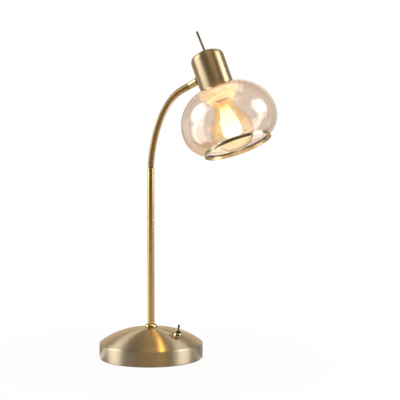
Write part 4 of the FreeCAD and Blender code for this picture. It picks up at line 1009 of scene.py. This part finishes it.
@dataclass
class Bulb:
    """The lit bulb: clear glass, rolled screw cap, four light strips and the glow round them."""

    radius: float = 30.0
    tip: float = -115.0
    neck: float = 14.4
    curve: float = 45.0
    wall: float = 0.8
    cap: float = 13.2
    cap_high: float = -14.5
    cap_low: float = -37.0
    cap_wall: float = 1.1
    cap_hole: float = 8.0
    shoulder: float = 2.2
    crimp: float = 1.4
    thread_low: float = 4.0
    thread_high: float = 3.2
    threads: int = 5
    rows_per_thread: int = 10
    thread_depth: float = 0.55
    strips: int = 4
    strip_radius: float = 0.9
    strip_length: float = 36.0
    circle: float = 6.5
    splay: float = 9.0
    drop: float = 58.0
    haze_top: float = -44.0
    # Name, finish and share of the bulb's radius of each shell of glow
    hazes: tuple[tuple[str, str, float], ...] = (
        ("haze_1", "haze_outer", 0.94), ("haze_2", "haze_yellow", 0.64), ("haze_3", "haze_core", 0.47))

    def line(self, inset: float) -> list[Spot]:
        """Outline of the glass from its tip up to the cap, on a face that far inside."""
        centre = self.tip + self.radius
        neck_centre = self.neck + self.curve
        neck_level = centre + side_of(self.radius + self.curve, neck_centre)
        share = (self.radius - inset) / (self.radius + self.curve)
        meet = (neck_centre * share, centre + (neck_level - centre) * share)
        side = (self.radius - inset, centre)
        sphere = arc((0.0, self.tip + inset), side, (0.0, centre)) + arc(side, meet, (0.0, centre))[1:]
        neck = arc(meet, (self.neck - inset, neck_level), (neck_centre, neck_level))[1:]
        return sphere + neck + [(self.neck - inset, self.cap_low - 0.02)]

    def cap_outline(self) -> list[Spot]:
        """Outline of the rolled screw cap: rounded threads between a plain skirt and the shoulder."""
        outline = [(self.neck - 0.5, self.cap_low), (self.cap, self.cap_low + self.crimp)]
        low, high = self.cap_low + self.thread_low, self.cap_high - self.thread_high
        rows = self.threads * self.rows_per_thread
        for row in range(rows + 1):
            share = row / rows
            wave = 0.5 + 0.5 * math.cos(FULL_TURN * share * self.threads)
            outline.append((self.cap - self.thread_depth * (1.0 - wave) + 0.1, low + (high - low) * share))
        inner = self.cap - self.cap_wall
        return outline + [
            (self.cap - SOFT, self.cap_high - self.shoulder), (self.cap_hole + FULL, self.cap_high),
            (self.cap_hole, self.cap_high), (inner, self.cap_high - self.shoulder - CRISP),
            (inner, self.cap_low + self.crimp + CRISP), (self.neck - self.crimp, self.cap_low)]

    def build(self, finisher: Finisher, frame: Matrix) -> None:
        """Builds the bulb in the head's frame."""
        finisher.settle(turned("bulb_envelope", self.line(0.0) + self.line(self.wall)[::-1], frame),
                        "bulb_clear", "head", "bulb_glass", "bulb_glass")
        finisher.settle(turned("bulb_screw_cap", self.cap_outline(), frame, 96),
                        "cap_metal", "head", "bulb_metal", "bulb_cap")
        shape = bmesh.new()
        start = Matrix.Translation((self.circle * MM, 0.0, -(self.drop - 0.4) * MM))
        for index in range(self.strips):
            turn = Matrix.Rotation(FULL_TURN * (index + 0.5) / self.strips, 4, "Z")
            lean = Matrix.Rotation(math.radians(180.0 - self.splay), 4, "Y")
            revolve(shape, self.strip_outline(), 16, turn @ start @ lean)
        finisher.settle(finish_mesh("light_strips", shape, frame),
                        "strip_light", "head", "filament", "bulb_filaments")
        for name, finish, share in self.hazes:
            finisher.settle(turned(name, self.haze_outline(share), frame, 64), finish, "head", "filament")

    def strip_outline(self) -> list[Spot]:
        """Outline of one round-ended light strip."""
        radius, rounds = self.strip_radius, 4
        angles = [QUARTER_TURN * index / rounds for index in range(rounds + 1)]
        end = [(radius * math.sin(angle), radius - radius * math.cos(angle)) for angle in angles]
        return end + [(across, self.strip_length - along) for across, along in end[::-1]]

    def haze_outline(self, share: float) -> list[Spot]:
        """Outline of a clear shell inside the glass that carries the glow, drawn in by a share."""
        middle = self.tip + self.radius
        outline = [(radius * share, middle + (height - middle) * (share if height < middle else 1.0))
                   for radius, height in self.line(self.wall + 0.4) if height < self.haze_top]
        return outline + [(0.0, outline[-1][1])]


@dataclass
class Switch:
    """The toggle switch: a polished bell nut, a black bush and a black bat lever."""

    place: float = 52.0
    azimuth: float = -8.0
    nut: float = 6.2
    nut_top: float = 3.9
    nut_low: float = 0.25
    nut_height: float = 8.1
    nut_bore: float = 3.05
    bulge: float = 9.5
    bush: float = 3.0
    bush_low: float = -5.58
    bush_rim: float = 3.6
    bush_mouth: float = 2.9
    bush_lip: float = 0.8
    seat: float = 2.06
    ball: float = 2.0
    pivot: float = 4.6
    reach: float = 19.4
    throw: float = 13.2
    knob: float = 1.5
    # Radius and height over the pivot along the lever's waist
    waist: tuple[Spot, ...] = ((0.98, 3.0), (1.0, 6.0), (1.16, 9.0), (1.36, 11.4))

    def frame(self, foot: Foot) -> Matrix:
        """Frame of the switch: Z is the dome's normal and X points outwards."""
        height, slope = foot.dome_spot(self.place)
        spin = Matrix.Rotation(math.radians(self.azimuth), 4, "Z")
        return spin @ Matrix.Translation((self.place * MM, 0.0, height * MM)) @ Matrix.Rotation(slope, 4, "Y")

    def nut_outline(self) -> list[Spot]:
        """Outline of the bell nut, whose side is an arc between its foot and its top."""
        start, end = Vector((self.nut, self.nut_low + MILD)), Vector((self.nut_top, self.nut_height))
        chord = end - start
        across = Vector((-chord.y, chord.x)).normalized()
        centre = (start + end) / 2 + across * side_of(self.bulge, chord.length / 2)
        side = arc(tuple(start), tuple(end), tuple(centre), step=5.0)
        foot = softened([(self.nut_bore, self.nut_low), (self.nut - SOFT, self.nut_low, CRISP)])
        return foot + side[:-1] + softened([(*side[-1], 0.35), (self.nut_bore, self.nut_height, CRISP)], 4)

    def lever_outline(self) -> list[Spot]:
        """Outline of the lever over its pivot: a ball, a waist and a round end."""
        tip = self.reach - self.pivot
        low, side, middle = (0.0, -self.ball), (self.ball, 0.0), (0.0, 0.0)
        ball = arc(low, side, middle, step=12.0)
        ball += arc(side, (1.0, side_of(self.ball, 1.0)), middle, step=12.0)[1:]
        end = arc((self.knob, tip - self.knob), (0.0, tip), (0.0, tip - self.knob), step=10.0)
        return ball + list(self.waist) + end

    def build(self, finisher: Finisher, foot: Foot) -> None:
        """Builds the nut, the bush and the lever."""
        frame = self.frame(foot)
        finisher.settle(turned("switch_bell", self.nut_outline(), frame, 96),
                        "trim_brass", "base", "brass_trim", "switch_dress_nut")
        low = self.nut_height + 0.1
        top = low + self.bush_lip
        bush = softened([
            (0.0, self.bush_low), (self.bush, self.bush_low), (self.bush, low), (self.bush_rim, low),
            (self.bush_rim, top, SOFT), (self.bush_mouth, top, CRISP), (self.seat, self.pivot, SOFT),
            (0.0, self.pivot - self.seat)], 4)
        finisher.settle(turned("switch_collar", bush, frame, 64),
                        "black_gloss", "base", "black_plastic", "switch_bush")
        lean = frame @ Matrix.Translation(UP * self.pivot * MM) @ Matrix.Rotation(
            math.radians(-self.throw), 4, "Y")
        finisher.settle(turned("switch_bat", self.lever_outline(), lean, 48),
                        "black_gloss", "switch", "black_plastic", "switch_lever")


@dataclass
class Studio:
    """Plain pale floor, soft lamps at the sides and the camera of the photograph.

    The focal length and the image are in pixels. Places of lamps and the target are in metres.
    """

    focal: float = 995.83
    image: float = 400.0
    sensor: float = 36.0
    distance: float = 1442.007
    height: float = 291.045
    azimuth: float = 37.25
    yaw: float = 2.8272
    pitch: float = 2.4688
    target: Vector = field(default_factory=lambda: Vector((0.06, 0.0, 0.24)))
    floor_size: float = 12.0
    floor_level: float = -0.0002
    floor_grey: Colour = (0.92, 0.92, 0.92)
    world_light: float = 0.42
    world_tint: Colour = (1.0, 0.99, 0.97)
    floor_front: float = 0.44
    world_front: float = 0.14
    floor_fade: tuple[Spot, Spot] = ((0.10, 0.45), (0.93, 1.0))
    front_span: Spot = (0.10, 0.80)
    back_span: Spot = (-0.55, -0.90)
    side_level: float = 0.31
    back_level: float = 0.45
    light_core: float = 0.99
    tint_span: Spot = (0.02, 0.50)
    brown: Colour = (1.0, 0.80, 0.54)
    pale: Colour = (0.97, 0.97, 0.97)
    # Turn from the camera's side, lift, inner edge and peak of each soft light that gloss mirrors
    side_lights: tuple[tuple[float, float, float, float], ...] = (
        (-92.0, 0.38, 0.90, 4.6), (78.0, 0.42, 0.90, 4.6), (0.0, 1.5, 0.90, 0.9))
    # Name, place to the right, in depth and up, width and height, all in metres, then watts
    soft_lamps: tuple[tuple[str, tuple[float, float, float], Spot, float], ...] = (
        ("lamp_left", (-1.25, -0.35, 0.62), (0.75, 1.25), 7.5),
        ("lamp_right", (1.30, -0.20, 0.62), (0.75, 1.25), 7.5),
        ("lamp_top", (0.0, 0.3, 1.6), (1.0, 1.0), 6.0))
    bulb_place: Vector = field(default_factory=lambda: Vector((0.1400, -0.042, 0.2978)))
    bulb_target: Vector = field(default_factory=lambda: Vector((0.02, 0.0, 0.03)))
    bulb_colour: Colour = (1.0, 0.54, 0.10)
    bulb_power: float = 0.8
    bulb_size: float = 0.002
    bulb_angle: float = 60.0
    bulb_blend: float = 0.6

    def right(self) -> Vector:
        """The camera's level right-hand direction before its yaw."""
        angle = math.radians(self.azimuth)
        return Vector((math.cos(angle), math.sin(angle), 0.0))

    def depth(self) -> Vector:
        """The level direction from the camera into the picture before its yaw."""
        angle = math.radians(self.azimuth)
        return Vector((-math.sin(angle), math.cos(angle), 0.0))

    def build(self) -> None:
        """Builds the camera, the floor, the world and the lamps."""
        self.build_camera()
        self.build_floor()
        self.build_world()
        self.build_lamps()
        bpy.context.scene.view_settings.view_transform = "Standard"

    def stand(self, data: bpy.types.Camera | bpy.types.Light, place: Vector, aim: Vector) -> Piece:
        """Puts a camera or a lamp at a place, aimed along a direction, and returns it."""
        item = bpy.data.objects.new(data.name, data)
        bpy.context.scene.collection.objects.link(item)
        item.location = place
        item.rotation_mode = "QUATERNION"
        item.rotation_quaternion = aim.to_track_quat("-Z", "Y")
        return item

    def build_camera(self) -> None:
        """Puts the camera where the photograph was taken from."""
        data = bpy.data.cameras.new("camera")
        data.sensor_width = self.sensor
        data.lens = self.sensor * self.focal / self.image
        data.clip_start, data.clip_end = 0.05, 50.0
        yaw, pitch = math.radians(self.yaw), math.radians(self.pitch)
        level = self.right() * math.sin(yaw) + self.depth() * math.cos(yaw)
        forward = level * math.cos(pitch) - UP * math.sin(pitch)
        place = -self.depth() * self.distance * MM + UP * self.height * MM
        bpy.context.scene.camera = self.stand(data, place, forward)

    def build_floor(self) -> None:
        """Lays a pale floor that keeps the lamp's soft shadow."""
        shape = bmesh.new()
        bmesh.ops.create_grid(shape, x_segments=8, y_segments=8, size=self.floor_size)
        floor = finish_mesh("floor", shape, Matrix.Translation(UP * self.floor_level))
        nodes = Nodes(bpy.data.materials.new("floor_paper"))
        away = nodes.vector("LENGTH", nodes.place()).outputs["Value"]
        share = nodes.maths("MULTIPLY", nodes.ray("Camera", "Transmission"),
                            nodes.remap(away, *self.floor_fade))
        seen = nodes.mixed(share, nodes.give("BsdfDiffuse", Color=self.floor_grey),
                           nodes.give("Emission", Color=WHITE, Strength=1.0))
        side = nodes.vector("NORMALIZE", nodes.place()).outputs[0]
        level, tint = self.mirrored(nodes, side, self.floor_front)
        dim = nodes.give("Emission", Color=tint, Strength=level)
        floor.data.materials.append(nodes.surface(nodes.mixed(nodes.ray("Glossy"), seen, dim)))

    def mirrored(self, nodes: Nodes, direction: Socket, front: float) -> tuple[Socket, Socket]:
        """What gloss mirrors that way: a dim brown front, a paler back and a soft wide light on each side.

        Args:
            nodes: The material or world that gets the nodes.
            direction: The direction looked in, of length 1.
            front: Level straight towards the camera.

        Returns:
            The light's strength and its colour.
        """
        ahead = nodes.facing(direction, -self.depth())
        level = nodes.remap(ahead, self.front_span, (self.side_level, front))
        level = nodes.maths("ADD", level, nodes.remap(ahead, self.back_span, (0.0, self.back_level)))
        for turn, lift, width, peak in self.side_lights:
            angle = math.radians(turn)
            aim = -self.depth() * math.cos(angle) + self.right() * math.sin(angle) + UP * lift
            lobe = nodes.facing(direction, aim.normalized())
            level = nodes.maths("ADD", level, nodes.remap(lobe, (width, self.light_core), (0.0, peak)))
        aside = nodes.facing(direction, self.right())
        aside = nodes.maths("MULTIPLY", aside, aside)
        return level, nodes.between(aside, (self.tint_span[0], self.brown), (self.tint_span[1], self.pale))

    def build_world(self) -> None:
        """Makes an even pale world with soft side lights for gloss, and plain white to look at."""
        world = bpy.data.worlds.new("studio")
        bpy.context.scene.world = world
        nodes = Nodes(world)
        level, tint = self.mirrored(nodes, nodes.add("TexCoord").outputs["Generated"], self.world_front)
        plain = nodes.give("Background", Color=self.world_tint, Strength=self.world_light)
        gloss = nodes.give("Background", Color=tint, Strength=level)
        white = nodes.give("Background", Color=WHITE, Strength=1.0)
        lit = nodes.mixed(nodes.ray("Glossy"), plain, gloss)
        shown = nodes.mixed(nodes.ray("Camera", "Transmission"), lit, white)
        nodes.put(nodes.add("OutputWorld"), Surface=shown)

    def build_lamps(self) -> None:
        """Hangs the soft lamps, whose place in gloss the world's side lights take, and the bulb's own."""
        for name, (aside, beyond, high), size, power in self.soft_lamps:
            data = bpy.data.lights.new(name, "AREA")
            data.shape = "RECTANGLE"
            data.size, data.size_y = size
            data.energy = power
            place = self.right() * aside + self.depth() * beyond + UP * high
            self.stand(data, place, self.target - place).visible_glossy = False
        self.bulb_lamp()

    def bulb_lamp(self) -> None:
        """Adds the warm light of the lit bulb itself, which the foot mirrors as a thin streak."""
        data = bpy.data.lights.new("lamp_bulb", "SPOT")
        data.color = self.bulb_colour
        data.shadow_soft_size = self.bulb_size
        data.spot_size = math.radians(self.bulb_angle)
        data.spot_blend = self.bulb_blend
        data.energy = self.bulb_power
        lamp = self.stand(data, self.bulb_place, self.bulb_target - self.bulb_place)
        lamp.visible_camera = False
        lamp.visible_transmission = False


def main() -> None:
    """Builds the lamp's pieces in order, dresses the carried nodes and sets up the studio."""
    logging.basicConfig(level=logging.INFO, format="%(message)s")
    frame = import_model()
    finisher = Finisher()
    foot, neck, ferrule, cup, globe = Foot(), Gooseneck(), Ferrule(), Cup(), Globe()
    foot.build(finisher)
    Collar().build(finisher, foot.top)
    Stem().build(finisher)
    neck.build(finisher)
    end = neck.end_frame()
    ferrule.build(finisher, end)
    reach = ferrule.length + ferrule.washer + cup.radius
    level = Matrix.Rotation(math.radians(neck.bend - 90.0), 4, "Y")
    head = Matrix.Translation(end @ (UP * reach * MM)) @ level
    cup.build(finisher, head)
    globe.build(finisher, head)
    SeatRing().build(finisher, globe, head)
    Bulb().build(finisher, head)
    Switch().build(finisher, foot)
    for finish, nodes in PLAIN_NODES.items():
        for node in nodes:
            finisher.dress_node(frame["nodes"][node], finish)
    Studio().build()


if __name__ == "__main__":
    main()
